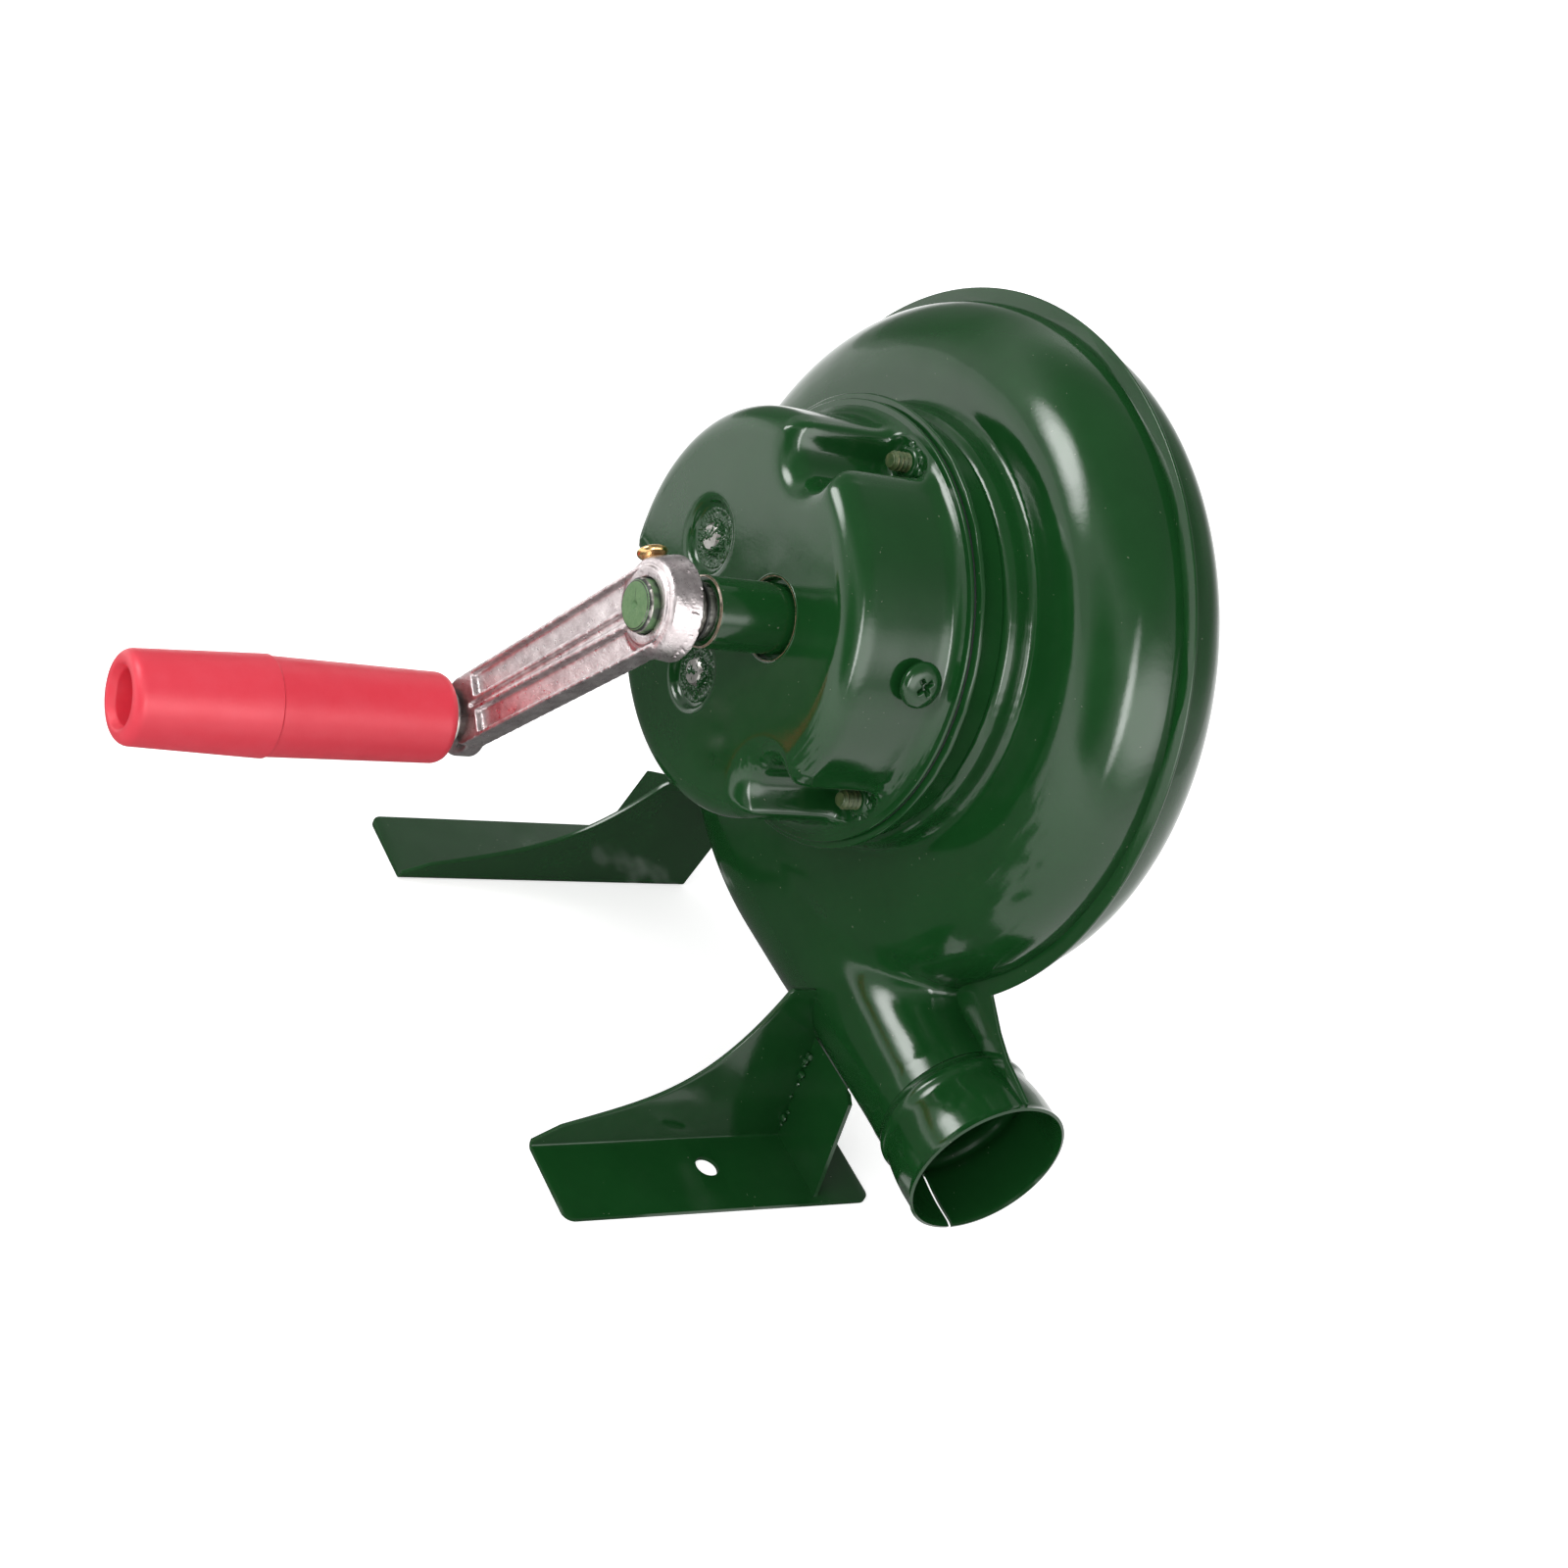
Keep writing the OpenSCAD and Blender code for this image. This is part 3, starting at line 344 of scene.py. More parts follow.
patch = maths(chips, "GREATER_THAN", rare.outputs[0], 0.55)
chips.links.new(maths(chips, "MULTIPLY", near, patch), out["Mask"])

# %% Edges that stand proud, as a mask
edges, given, out = new_group("Worn Edges", [
    ("Vector", POINT, None), ("Start", FLOAT, 0.55), ("Softness", FLOAT, 0.05),
    ("Breakup", FLOAT, 0.04)], [("Mask", FLOAT)])
shape = node(edges, "NewGeometry")
rub = node(edges, "TexNoise", [("Vector", given["Vector"]), ("Scale", 260.0)])
rough = maths(edges, "SUBTRACT", rub.outputs[0], 0.5)
proud = maths(edges, "MULTIPLY_ADD", rough, given["Breakup"], shape.outputs["Pointiness"])
above = maths(edges, "SUBTRACT", proud, given["Start"])
steep = maths(edges, "DIVIDE", above, given["Softness"], clamp=True)
edges.links.new(steep, out["Mask"])

# %% Wavy skin of paint, plastic or casting, as a height
skin, given, out = new_group("Skin Height", [
    ("Vector", POINT, None), ("Wave Scale", FLOAT, 40.0), ("Wave", FLOAT, 1.0),
    ("Grain Scale", FLOAT, 500.0), ("Grain", FLOAT, 0.2)], [("Height", FLOAT)])
wave = node(skin, "TexNoise", [("Vector", given["Vector"]),
            ("Scale", given["Wave Scale"]), ("Detail", 1.0)])
grain = node(skin, "TexNoise", [("Vector", given["Vector"]),
             ("Scale", given["Grain Scale"]), ("Detail", 3.0)])
big = maths(skin, "MULTIPLY", wave.outputs[0], given["Wave"])
small = maths(skin, "MULTIPLY_ADD", grain.outputs[0], given["Grain"], big)
skin.links.new(small, out["Height"])
print("node groups:", [g.name for g in bpy.data.node_groups])

# %% [markdown]
# ## Materials
#
# The enamel is thick and glossy: a dark green under a clear reflection. Its
# skin is never quite flat, so reflections have ragged edges, and it has small
# chips in scattered patches. The other finishes are built the same way, each
# with its own colours, gloss and grain.

# %% A material around one Principled shader


def placed(tree, group, **values):
    """A node group in a material, on Object coordinates."""
    made = node(tree, "Group", node_tree=group)
    place = tree.nodes.get("place") or node(tree, "TexCoord", name="place")
    tree.links.new(place.outputs["Object"], made.inputs["Vector"])
    for key, value in values.items():
        made.inputs[key.replace("_", " ")].default_value = value
    return made


def clouded(tree, scale, light, dark, contrast=1.0):
    """Colour that drifts between two. A single number stands for a grey."""
    light, dark = [(*c, 1) if isinstance(c, tuple) else (c, c, c, 1) for c in (light, dark)]
    return placed(tree, clouds, Scale=scale, Light=light, Dark=dark, Contrast=contrast).outputs[0]


def new_material(name, waves, grain, bump, colour, gloss=None, **plain):
    """Material with a wavy, grainy skin.

    waves and grain are (scale, strength). colour and gloss are what clouded()
    takes after the tree. The rest are plain values of the shader.
    """
    material = bpy.data.materials.new(name)
    material.use_nodes = True
    tree = material.node_tree
    shader = tree.nodes["Principled BSDF"]
    for key, value in plain.items():
        shader.inputs[key.replace("_", " ")].default_value = value
    rise = placed(tree, skin, Wave_Scale=waves[0], Wave=waves[1], Grain_Scale=grain[0], Grain=grain[1])
    dent = node(tree, "Bump", [("Height", rise.outputs[0]), ("Distance", bump),
                ("Strength", 1.0)])
    tree.links.new(dent.outputs[0], shader.inputs["Normal"])
    tree.links.new(clouded(tree, *colour), shader.inputs["Base Color"])
    if gloss:
        tree.links.new(clouded(tree, *gloss), shader.inputs["Roughness"])
    return material


def lay_over(material, mask, above):
    """Cover a material's own colour with another where mask is 1."""
    base = material.node_tree.nodes["Principled BSDF"].inputs["Base Color"]
    own = base.links[0].from_socket
    material.node_tree.links.new(mixed(material.node_tree, mask, own, (*above, 1)), base)


# %% Green enamel
enamel = new_material(
    "green_enamel", (55.0, 0.6), (700.0, 0.035), 0.0004,
    (45.0, (0.0085, 0.062, 0.0135), (0.0065, 0.048, 0.0105), 1.6), (90.0, 0.17, 0.07, 1.5),
    Roughness=0.1, IOR=1.45)
chipped = placed(enamel.node_tree, chips, Scale=330.0, Amount=0.07)
lay_over(enamel, chipped.outputs[0], (0.12, 0.16, 0.1))

# %% Paint on threads, on the shaft's end and round the worn hole, and painted shade on the shaft


def worn_paint(name, light, dark, bare, start, gloss, metal=1.0):
    """Thin paint in two shades that lets the metal through on its edges. Near black, it also serves as
    painted shade.
    """
    material = new_material(name, (200.0, 0.3), (1500.0, 0.3), 0.0002, (500.0, light, dark, 2.0),
                            Roughness=gloss)
    tree = material.node_tree
    worn = placed(tree, edges, Start=start, Softness=0.03, Breakup=0.12).outputs[0]
    lay_over(material, worn, bare)
    tree.links.new(mixed(tree, worn, 0.0, metal), tree.nodes["Principled BSDF"].inputs["Metallic"])
    return material


# The shaft gets a near black coat: painted shade of the gap between the boss and the sleeve, with bare metal
# on its proud edges.
gap_shade = worn_paint("shaft_painted_shade", (0.02, 0.022, 0.018), (0.006, 0.008, 0.006), (0.45, 0.43, 0.40), 0.56, 0.4)
sprayed = worn_paint("sprayed_thread", (0.10, 0.12, 0.045), (0.02, 0.06, 0.018), (0.46, 0.40, 0.22),
                     0.54, 0.35)
stub_green = worn_paint("stub_green", (0.13, 0.24, 0.10), (0.07, 0.16, 0.06), (0.03, 0.045, 0.03),
                        0.53, 0.55, 0.0)
chipped_edge = worn_paint("chipped_edge", (0.30, 0.17, 0.10), (0.01, 0.03, 0.012), (0.75, 0.62, 0.52),
                          0.575, 0.35)

# %% Red plastic
plastic = new_material(
    "red_plastic", (60.0, 0.5), (900.0, 0.12), 0.0003,
    (70.0, (0.80, 0.058, 0.09), (0.76, 0.032, 0.058), 1.8), (240.0, 0.5, 0.3, 1.6),
    Roughness=0.4, IOR=1.46, Subsurface_Weight=0.08, Subsurface_Radius=(0.004, 0.001, 0.001))

# %% Metals
aluminium = new_material(
    "cast_aluminium", (120.0, 0.4), (1400.0, 0.5), 0.00025,
    (220.0, (0.70, 0.64, 0.64), (0.44, 0.385, 0.39), 3.0), (500.0, 0.45, 0.2, 1.8),
    Metallic=1.0, Roughness=0.4)
steel = new_material(
    "bare_steel", (90.0, 0.2), (1600.0, 0.2), 0.0001,
    (200.0, (0.56, 0.55, 0.52), (0.30, 0.29, 0.27), 1.8), (300.0, 0.45, 0.2),
    Metallic=1.0, Roughness=0.3)
zinc = new_material(
    "yellow_zinc", (150.0, 0.2), (1600.0, 0.1), 0.0001,
    (260.0, (0.86, 0.62, 0.25), (0.60, 0.34, 0.16), 1.8), Metallic=1.0, Roughness=0.2)
bronze = new_material(
    "bronze", (150.0, 0.2), (1200.0, 0.3), 0.0001,
    (160.0, (0.60, 0.36, 0.16), (0.34, 0.19, 0.08)), Metallic=1.0, Roughness=0.3)

# %% Gasket paper, nearly black
paper = new_material(
    "black_gasket", (300.0, 0.3), (1500.0, 0.5), 0.0002,
    (400.0, (0.018, 0.02, 0.022), (0.006, 0.006, 0.008)), Roughness=0.8)

FINISHES = {"green_enamel": enamel, "red_plastic": plastic, "cast_aluminium": aluminium,
            "bare_steel": steel, "yellow_zinc": zinc, "bronze": bronze, "black_gasket": paper}
slot_of = {s["node"]: s["material_slot"] for s in frame["record"]["subparts"]}
for name, obj in frame["nodes"].items():
    obj.data.materials.clear()
    obj.data.materials.append(FINISHES[slot_of[name]])
print("finishes on CAD nodes:", sorted(set(slot_of.values())))

# %% [markdown]
# ## Finishing a piece
#
# Every new piece ends the same way: millimetres become metres, sharp bends
# stay crisp while the rest shades smoothly, and the piece is told which body
# it rides on and which CAD nodes it stands for.

# %% Turn a bmesh into a piece


def piece(name, bm, body, finish, stands_for=(), crisp=38, look=None):
    """Finish a piece. look is a material of its own, where the finish's usual one is too clean, or a near
    black one for painted shade.
    """
    bmesh.ops.scale(bm, vec=(MM, MM, MM), verts=bm.verts)
    obj = as_object(bm, name)
    mesh = obj.data
    mesh.shade_smooth()
    mesh.set_sharp_from_angle(angle=math.radians(crisp))
    mesh.materials.append(look or FINISHES[finish])
    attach(obj, body)
    if stands_for:
        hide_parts(*stands_for)
    triangles = sum(len(p.vertices) - 2 for p in mesh.polygons)
    print(f"{name}: {triangles} triangles")


# %% [markdown]
# ## Casing
#
# Each half of the casing is deep drawn from one sheet. Right of the shaft the
# outline is an arc about one centre. Left of it the arc is larger, which makes
# the snail, and at the lower right the round body runs into the outlet duct.
# The solids of these three are spun or hulled, melted together, opened and
# given the sheet's thickness.

# %% Solids of the casing
FRONT_Y, SEAM_Y, BACK_Y, BOTTOM_Z = 26.4, 51.6, 77.0, 32.4
FRONT_ROUND, BACK_ROUND, DUCT_ROUND = 24.5, 18, 20
SHEET = 1.2
OUTLET = Vector((0, SEAM_Y, 56.4))  # middle of the duct and of the spout
NECK_X, NECK_R = 102, 24
BEARING_HOLE_R, INLET_Y = 13.4, 83
DUCT_TOP_Z, CASING_VOXEL = 72.4, 1.25


def pan(radius, z, side):
    """Half a flat round drum, on one side of the shaft."""
    drum = turned([(0, FRONT_Y), (radius, FRONT_Y, FRONT_ROUND), (radius, BACK_Y, BACK_ROUND), (0, BACK_Y)],
                  Vector((0, 0, z)), steps=160)
    cut_off(drum, (-0.4 * side, 0, 0), (-side, 0, 0))
    bmesh.ops.holes_fill(drum, edges=[e for e in drum.edges if e.is_boundary])
    return drum


def duct_solid():
    """Hull between the body's section and the round neck."""
    rings = [(64, FRONT_ROUND, (0, FRONT_Y + FRONT_ROUND, BOTTOM_Z + FRONT_ROUND)),
             (64, BACK_ROUND, (0, BACK_Y - BACK_ROUND, BOTTOM_Z + BACK_ROUND)),
             (64, DUCT_ROUND, (0, FRONT_Y + DUCT_ROUND, DUCT_TOP_Z)),
             (64, DUCT_ROUND, (0, BACK_Y - DUCT_ROUND, DUCT_TOP_Z)),
             (96, NECK_R, (NECK_X, SEAM_Y, OUTLET.z)), (96, NECK_R, (NECK_X + 5, SEAM_Y, OUTLET.z))]
    duct = bmesh.new()
    for segments, radius, place in rings:
        bmesh.ops.create_circle(duct, segments=segments, radius=radius,
                                matrix=Matrix.Translation(place) @ Matrix.Rotation(math.radians(90), 4, "Y"))
    bmesh.ops.convex_hull(duct, input=duct.verts, use_existing_faces=False)
    bmesh.ops.delete(duct, geom=[v for v in duct.verts if not v.link_faces], context="VERTS")
    bmesh.ops.delete(duct, geom=[e for e in duct.edges if not e.link_faces], context="EDGES")
    bmesh.ops.recalc_face_normals(duct, faces=duct.faces)
    return duct


def by_duct(co, inwards):
    """Whether a point is where the body runs into the duct, at least this far inside."""
    return (30 + inwards < co.x < 97 and co.z < 112 - inwards and
            (co.x - 30 - inwards) > 0.5 * (co.z - 60))


collar = turned([(0, 16.4), (68.6, 16.4, 3), (68.6, 40), (0, 40)], steps=160)
inlet = turned([(0, 60), (39.2, 60), (39.2, 85), (0, 85)])
body_skin = shaped(joined(pan(108.2, 159.3, 1), pan(117.55, 149.95, -1), duct_solid(), collar, inlet),
                   voxel=CASING_VOXEL, rounds=14)
for inwards in (0, 2, 4, 6, 8, 10):
    melted(body_skin, lambda co: by_duct(co, inwards), 14)
low = min(v.co.z for v in body_skin.verts)
print("casing skin:", len(body_skin.faces), "faces, lowest point at", round(low, 2), "mm")

# %% [markdown]
# The spout is turned: a neck, a bead rolled into the sheet, a slight flare and
# a rounded lip. It is spun in two halves, one for each half of the casing, and
# under the mouth the halves leave a slit.

# %% Spout halves
SPOUT = [(NECK_R - 0.2, 100.5), (24.0, 103.6, 1.0), (25.9, 106.6, 1.5), (25.0, 109.4, 1.6),
         (26.4, 118, 4), (26.4, 127.6, 0.8), (26.9, 128.9, 0.4)]


def spout_half(front):
    """Front or rear half of the spout, with its side of the slit."""
    half = turned(SPOUT, OUTLET, "X", steps=72, sweep=180, start=90 if front else -90)
    for v in half.verts:
        if v.co.x > 108.5 and v.co.z < OUTLET.z and abs(v.co.y - SEAM_Y) < 0.8:
            v.co.y = SEAM_Y - 0.8 if front else SEAM_Y + 0.8
    return half


# %% [markdown]
# Where the halves meet, each has a narrow flange. A flat plate is drawn from
# three arcs and straight runs, then the casing and the spout are cut out of
# it, which leaves a strip that fits the skin exactly.

# %% Seam flange
REAR_EXTRA, MELT_BACK = 0.9, 0.4


def seam_plate(extra, y0, y1):
    """Plate with the outline of the seam, a little wider where extra is set."""
    plate = bmesh.new()
    top = Vector((0, SEAM_Y, 271.3 + extra))
    for way, centre_z, angle in ((1, 159.3, 124), (-1, 150.65, 180)):
        bmesh.ops.spin(plate, geom=[plate.verts.new(top)], cent=(0, SEAM_Y, centre_z),
                       axis=(0, way, 0), angle=math.radians(angle), steps=angle // 2)
    bmesh.ops.remove_doubles(plate, verts=plate.verts, dist=0.05)
    ends = [v for v in plate.verts if len(v.link_edges) == 1]
    tongue = max(ends, key=lambda v: v.co.x)
    bottom = min(ends, key=lambda v: v.co.z)
    run = [(104, 89.5 + extra), (113, 86 + extra), (127.8, 83.3 + extra), (127.8, 58), (109, 58),
           (109, 30 - extra)]
    chain = [tongue] + [plate.verts.new((x, SEAM_Y, z)) for x, z in run] + [bottom]
    for a, b in zip(chain, chain[1:]):
        plate.edges.new((a, b))
    bmesh.ops.contextual_create(plate, geom=plate.edges[:])
    wide = bmesh.ops.extrude_face_region(plate, geom=plate.faces[:])
    bmesh.ops.translate(plate, vec=(0, y1 - SEAM_Y, 0), verts=verts_of(wide))
    for v in plate.verts:
        if abs(v.co.y - SEAM_Y) < 0.001:
            v.co.y = y0
    bmesh.ops.recalc_face_normals(plate, faces=plate.faces)
    rims = [e for e in plate.edges if len(e.link_faces) == 2 and e.calc_face_angle(0) > 1.2]
    bmesh.ops.bevel(plate, geom=rims, offset=0.4, offset_type="OFFSET", segments=2, profile=0.5,
                    affect="EDGES", clamp_overlap=True, material=-1)
    return plate


def flange(extra, y0, y1):
    """Strip of the seam plate that is left outside the casing and the spout."""
    hollow = body_skin.copy()
    for v in hollow.verts:
        v.co -= v.normal * MELT_BACK
    mouth = turned([(0, 95), (NECK_R - 0.5, 95), (NECK_R - 0.4, 104), (25.9, 117), (25.9, 135), (0, 135)],
                   OUTLET, "X", steps=96)
    return shaped(seam_plate(extra, y0, y1), [hollow, mouth])


# %% Front and rear casing

def casing_half(front):
    """Half of the casing with its lip of the spout and its flange."""
    side = -1 if front else 1
    half = body_skin.copy()
    cut_off(half, (0, SEAM_Y, 0), (0, -side, 0))
    neck = [f for f in half.faces if f.calc_center_median().x > 90 and f.calc_center_median().z < 84]
    near = neck + list({e for f in neck for e in f.edges}) + list({v for f in neck for v in f.verts})
    bmesh.ops.bisect_plane(half, geom=near, dist=0.001, plane_co=(NECK_X + 0.6, 0, 0),
                           plane_no=(1, 0, 0), clear_outer=True)
    if front:
        open_round(half, BEARING_HOLE_R, 0, 30)
    else:
        cut_off(half, (0, INLET_Y, 0), (0, 1, 0))
    half = walled(half, SHEET)
    lip = walled(spout_half(front), 1.0)
    if front:
        rim = flange(0.0, SEAM_Y - SHEET, SEAM_Y)
    else:
        rim = flange(REAR_EXTRA, SEAM_Y, SEAM_Y + SHEET)
    return joined(half, lip, rim)


piece("casing_front", casing_half(True), "frame", "green_enamel", ["front_casing"])
piece("casing_rear", casing_half(False), "frame", "green_enamel", ["rear_casing"])

# %% [markdown]
# ## Gear case
#
# The dish behind and the cap in front are bolted together with a paper gasket
# between them. The cap is a deep drawing with three bays for the screws and
# two round recesses for the peened ends of the axles.

# %% Cap of the gear case
CAP_R, CAP_ROUND, NOTCH_R, RECESS_R, RECESS_DEPTH = 62, 8, 10, 11, 2.5
FACE_Y, GASKET_Y = ends_of("gear_cover")
FLANGE_Y = GASKET_Y - SHEET
SCREW_RING, SCREW_ANGLES = 58.5, (90, 210, 330)
BAYS = [round_shaft(SCREW_RING, a) for a in SCREW_ANGLES]
SLEEVE_R, SLEEVE_HOLE_R = 10.5, 12.3
BAY_HALF = math.degrees(math.acos(
    (CAP_R ** 2 + SCREW_RING ** 2 - NOTCH_R ** 2) / (2 * CAP_R * SCREW_RING)))
BAY_EDGES = [round_shaft(CAP_R, a + s * BAY_HALF) for a in SCREW_ANGLES for s in (-1, 1)]


def bay_cutter(x, z):
    """Round bar that widens like a trumpet at the cap's face, so the bay gets a soft lip."""
    return turned([(0, FACE_Y - 12), (NOTCH_R + CAP_ROUND, FACE_Y - 12), (NOTCH_R + CAP_ROUND, FACE_Y),
                   (NOTCH_R, FACE_Y, CAP_ROUND), (NOTCH_R, FLANGE_Y - 0.4, 3), (0, FLANGE_Y - 0.4)],
                  Vector((x, 0, z)), steps=96)


def recess_cutter(place):
    """Shallow round pit with a soft rim."""
    floor_y = FACE_Y + RECESS_DEPTH
    return turned([(0, FACE_Y - 9), (RECESS_R + 1.2, FACE_Y - 9), (RECESS_R + 1.2, FACE_Y),
                   (RECESS_R, FACE_Y, 1.2), (RECESS_R, floor_y, 0.8), (0, floor_y)], place, steps=72)


def by_bay_edge(co):
    """Whether a point is on the corner between a bay and the cap's wall."""
    near = min(math.hypot(co.x - x, co.z - z) for x, z in BAY_EDGES)
    return co.y < FLANGE_Y - 1 and near < 8


cap = turned([(0, FACE_Y), (CAP_R, FACE_Y, CAP_ROUND), (CAP_R, FLANGE_Y + 0.2, 5),
              (67, FLANGE_Y + 0.2), (67, 9), (0, 9)], steps=160)
cutters = [bay_cutter(x, z) for x, z in BAYS] + [recess_cutter(place) for place in AXLES]
cap = shaped(cap, cutters, voxel=0.88, rounds=7)
melted(cap, by_bay_edge, 60, "XZ")
cut_off(cap, (0, GASKET_Y - 0.5, 0), (0, 1, 0))
open_round(cap, SLEEVE_HOLE_R, FACE_Y - 2, FACE_Y + 2, CRANK.x, CRANK.z)
cap = walled(cap, SHEET)
flange_ring = turned([(58.5, FLANGE_Y), (68, FLANGE_Y, 0.45), (68, GASKET_Y, 0.3), (58.5, GASKET_Y)],
                     steps=160, closed=True)
hole_edge = turned([(SLEEVE_HOLE_R - 0.1, FACE_Y + 0.1), (SLEEVE_HOLE_R + 0.9, FACE_Y - 0.25, 0.3),
                    (SLEEVE_HOLE_R + 1.4, FACE_Y + 0.5), (SLEEVE_HOLE_R - 0.1, FACE_Y + 2.6)],
                   CRANK, steps=72, closed=True)
collars = [turned([(0, FLANGE_Y + 0.6), (5.2, FLANGE_Y + 0.2, 0.3), (4.5, FLANGE_Y - 1.7, 0.9),
                   (0, FLANGE_Y - 2)], Vector((x, 0, z)), steps=40) for x, z in BAYS]
piece("gear_cap", joined(cap, flange_ring, hole_edge, *collars), "frame", "green_enamel", ["gear_cover"])

# %% Dish behind the cap
DISH_BACK = ends_of("gear_base")[1]
dish = turned([(65.2, 5.4), (70, 5.4, 0.5), (70, 7.2, 0.7), (66.4, 7.6, 0.8), (66.4, DISH_BACK),
               (0, DISH_BACK), (0, DISH_BACK - SHEET), (65.2, DISH_BACK - SHEET)], steps=160, closed=True)
open_round(dish, BEARING_HOLE_R - 0.3, 10, 20)
for v in dish.verts:
    if 5 < v.co.y < 8 and math.hypot(v.co.x, v.co.z - SHAFT_Z) > 69:
        v.co.y += 0.35 * noise.noise(v.co * 0.21)
piece("gear_dish", dish, "frame", "green_enamel", ["gear_base"])

# %% [markdown]
# ## Screws and small metal parts
#
# A thread at this size is a stack of fine ridges. A zigzag profile that is
# turned gives them, and the end of the screw gets a small chamfer. The ends
# that stand out of the flange were sprayed along with the case, so paint sits
# between the ridges and lies in blobs round the foot of each.

# %% Threaded profile


def thread(radius, y0, y1, pitch=1.0, depth=0.55):
    """Zigzag (radius, place, rounding) points from y0 to y1."""
    turns = int((y1 - y0) / pitch)
    points = []
    for i in range(turns):
        points += [(radius - depth, y0 + i * pitch), (radius, y0 + (i + 0.5) * pitch)]
    return points + [(radius - depth, y0 + turns * pitch)]


STUD_FRONT, STUD_BACK = ends_of("cover_screws")
studs = []
for x, z in BAYS:
    ridges = thread(3.0, STUD_FRONT + 0.5, 16, 1.6, 0.75)
    head = [(3, STUD_BACK - 3.5), (5.5, STUD_BACK - 3.48, 0.3), (4.0, STUD_BACK, 0.8), (0, STUD_BACK)]
    studs.append(turned([(0, STUD_FRONT), (2.3, STUD_FRONT, 0.3), *ridges, *head],
                        Vector((x, 0, z)), steps=48))
piece("cover_studs", joined(*studs), "frame", "bare_steel", ["cover_screws"], look=sprayed)

# %% Paint blobs round the studs
blobs = []
for x, z in BAYS:
    for i in range(9):
        a = i * 0.7 + x * 0.05
        place = (x + 4.8 * math.cos(a), FLANGE_Y - 0.2, z + 4.8 * math.sin(a))
        blobs.append(blob(place, 1.1 + 0.6 * noise.noise(Vector((i, x, z))), (1.5, 0.8, 1.3), x + z + i))
piece("stud_paint", joined(*blobs), "frame", "green_enamel")

# %% Sleeve round the shaft
SLEEVE_FRONT, SLEEVE_BACK = ends_of("shaft_sleeve")
SHAFT_R = 7.75
sleeve = turned([(SHAFT_R + 0.05, SLEEVE_FRONT + 0.4), (8.6, SLEEVE_FRONT, 0.3),
                 (SLEEVE_R - 0.5, SLEEVE_FRONT, 0.4), (SLEEVE_R, SLEEVE_FRONT + 0.9, 0.4),
                 (SLEEVE_R, FACE_Y + 2.55), (14.5, FACE_Y + 2.6), (14.5, FACE_Y + 3.7),
                 (SLEEVE_R, FACE_Y + 3.8), (SLEEVE_R, SLEEVE_BACK), (SHAFT_R + 0.05, SLEEVE_BACK)],
                CRANK, steps=96, closed=True)
piece("shaft_tube", sleeve, "frame", "green_enamel", ["shaft_sleeve"])

# %% Bare edges of the sleeve and of its hole
hole_rim = turned([(SLEEVE_HOLE_R - 0.05, FACE_Y + 0.05), (SLEEVE_HOLE_R + 0.28, FACE_Y - 0.24, 0.1),
                   (SLEEVE_HOLE_R + 0.32, FACE_Y + 0.3), (SLEEVE_HOLE_R - 0.05, FACE_Y + 0.6)],
                  CRANK, steps=144, closed=True)
sleeve_rim = turned([(SLEEVE_R - 0.5, SLEEVE_FRONT - 0.04), (SLEEVE_R - 0.25, SLEEVE_FRONT - 0.04),
                     (SLEEVE_R + 0.04, SLEEVE_FRONT + 0.3), (SLEEVE_R + 0.04, SLEEVE_FRONT + 0.6),
                     (SLEEVE_R - 0.4, SLEEVE_FRONT + 0.6)], CRANK, steps=144, closed=True)
piece("worn_rims", joined(hole_rim, sleeve_rim), "frame", "green_enamel", look=chipped_edge)

# %% [markdown]
# ## Crank arm
#
# The arm is a rough aluminium casting: a thick boss on the shaft, a bar that
# narrows outwards with two sunk fields and a ridge between them, and a small
# boss for the grip's spindle. It is melted together from turned and extruded
# solids, like the casing but with a finer skin.

# %% Arm
CRANK_R = (HANDLE - CRANK).length
CRANK_A = math.degrees(math.atan2(HANDLE.z - CRANK.z, HANDLE.x - CRANK.x))
BOSS_R, BOSS_BACK = 15.4, ends_of("crank_washer")[0]
BOSS_FRONT = BOSS_BACK - 10.6
ARM_T, ARM_W, ARM_RISE = 8, 21, 10.5
ARM_FRONT = ends_of("crank_arm")[0]
ARM_BACK = ARM_FRONT + ARM_T + 2
arm_turn = Matrix.Rotation(math.radians(-CRANK_A), 4, "Y") @ Matrix.Rotation(
    -math.atan(ARM_RISE / CRANK_R), 4, "Z")


def flat_bar(outline, y0, y1):
    """Extruded outline in X and Z, put in place along the arm."""
    bm = bmesh.new()
    draw_line(bm, [(Vector((x, y0, z)), rounding) for x, z, rounding in outline], closed=True)
    bmesh.ops.contextual_create(bm, geom=bm.edges[:])
    top = bmesh.ops.extrude_face_region(bm, geom=bm.faces[:])
    bmesh.ops.translate(bm, vec=(0, y1 - y0, 0), verts=verts_of(top))
    bmesh.ops.recalc_face_normals(bm, faces=bm.faces)
    bmesh.ops.transform(bm, matrix=Matrix.Translation(CRANK) @ arm_turn, verts=bm.verts)
    return bm


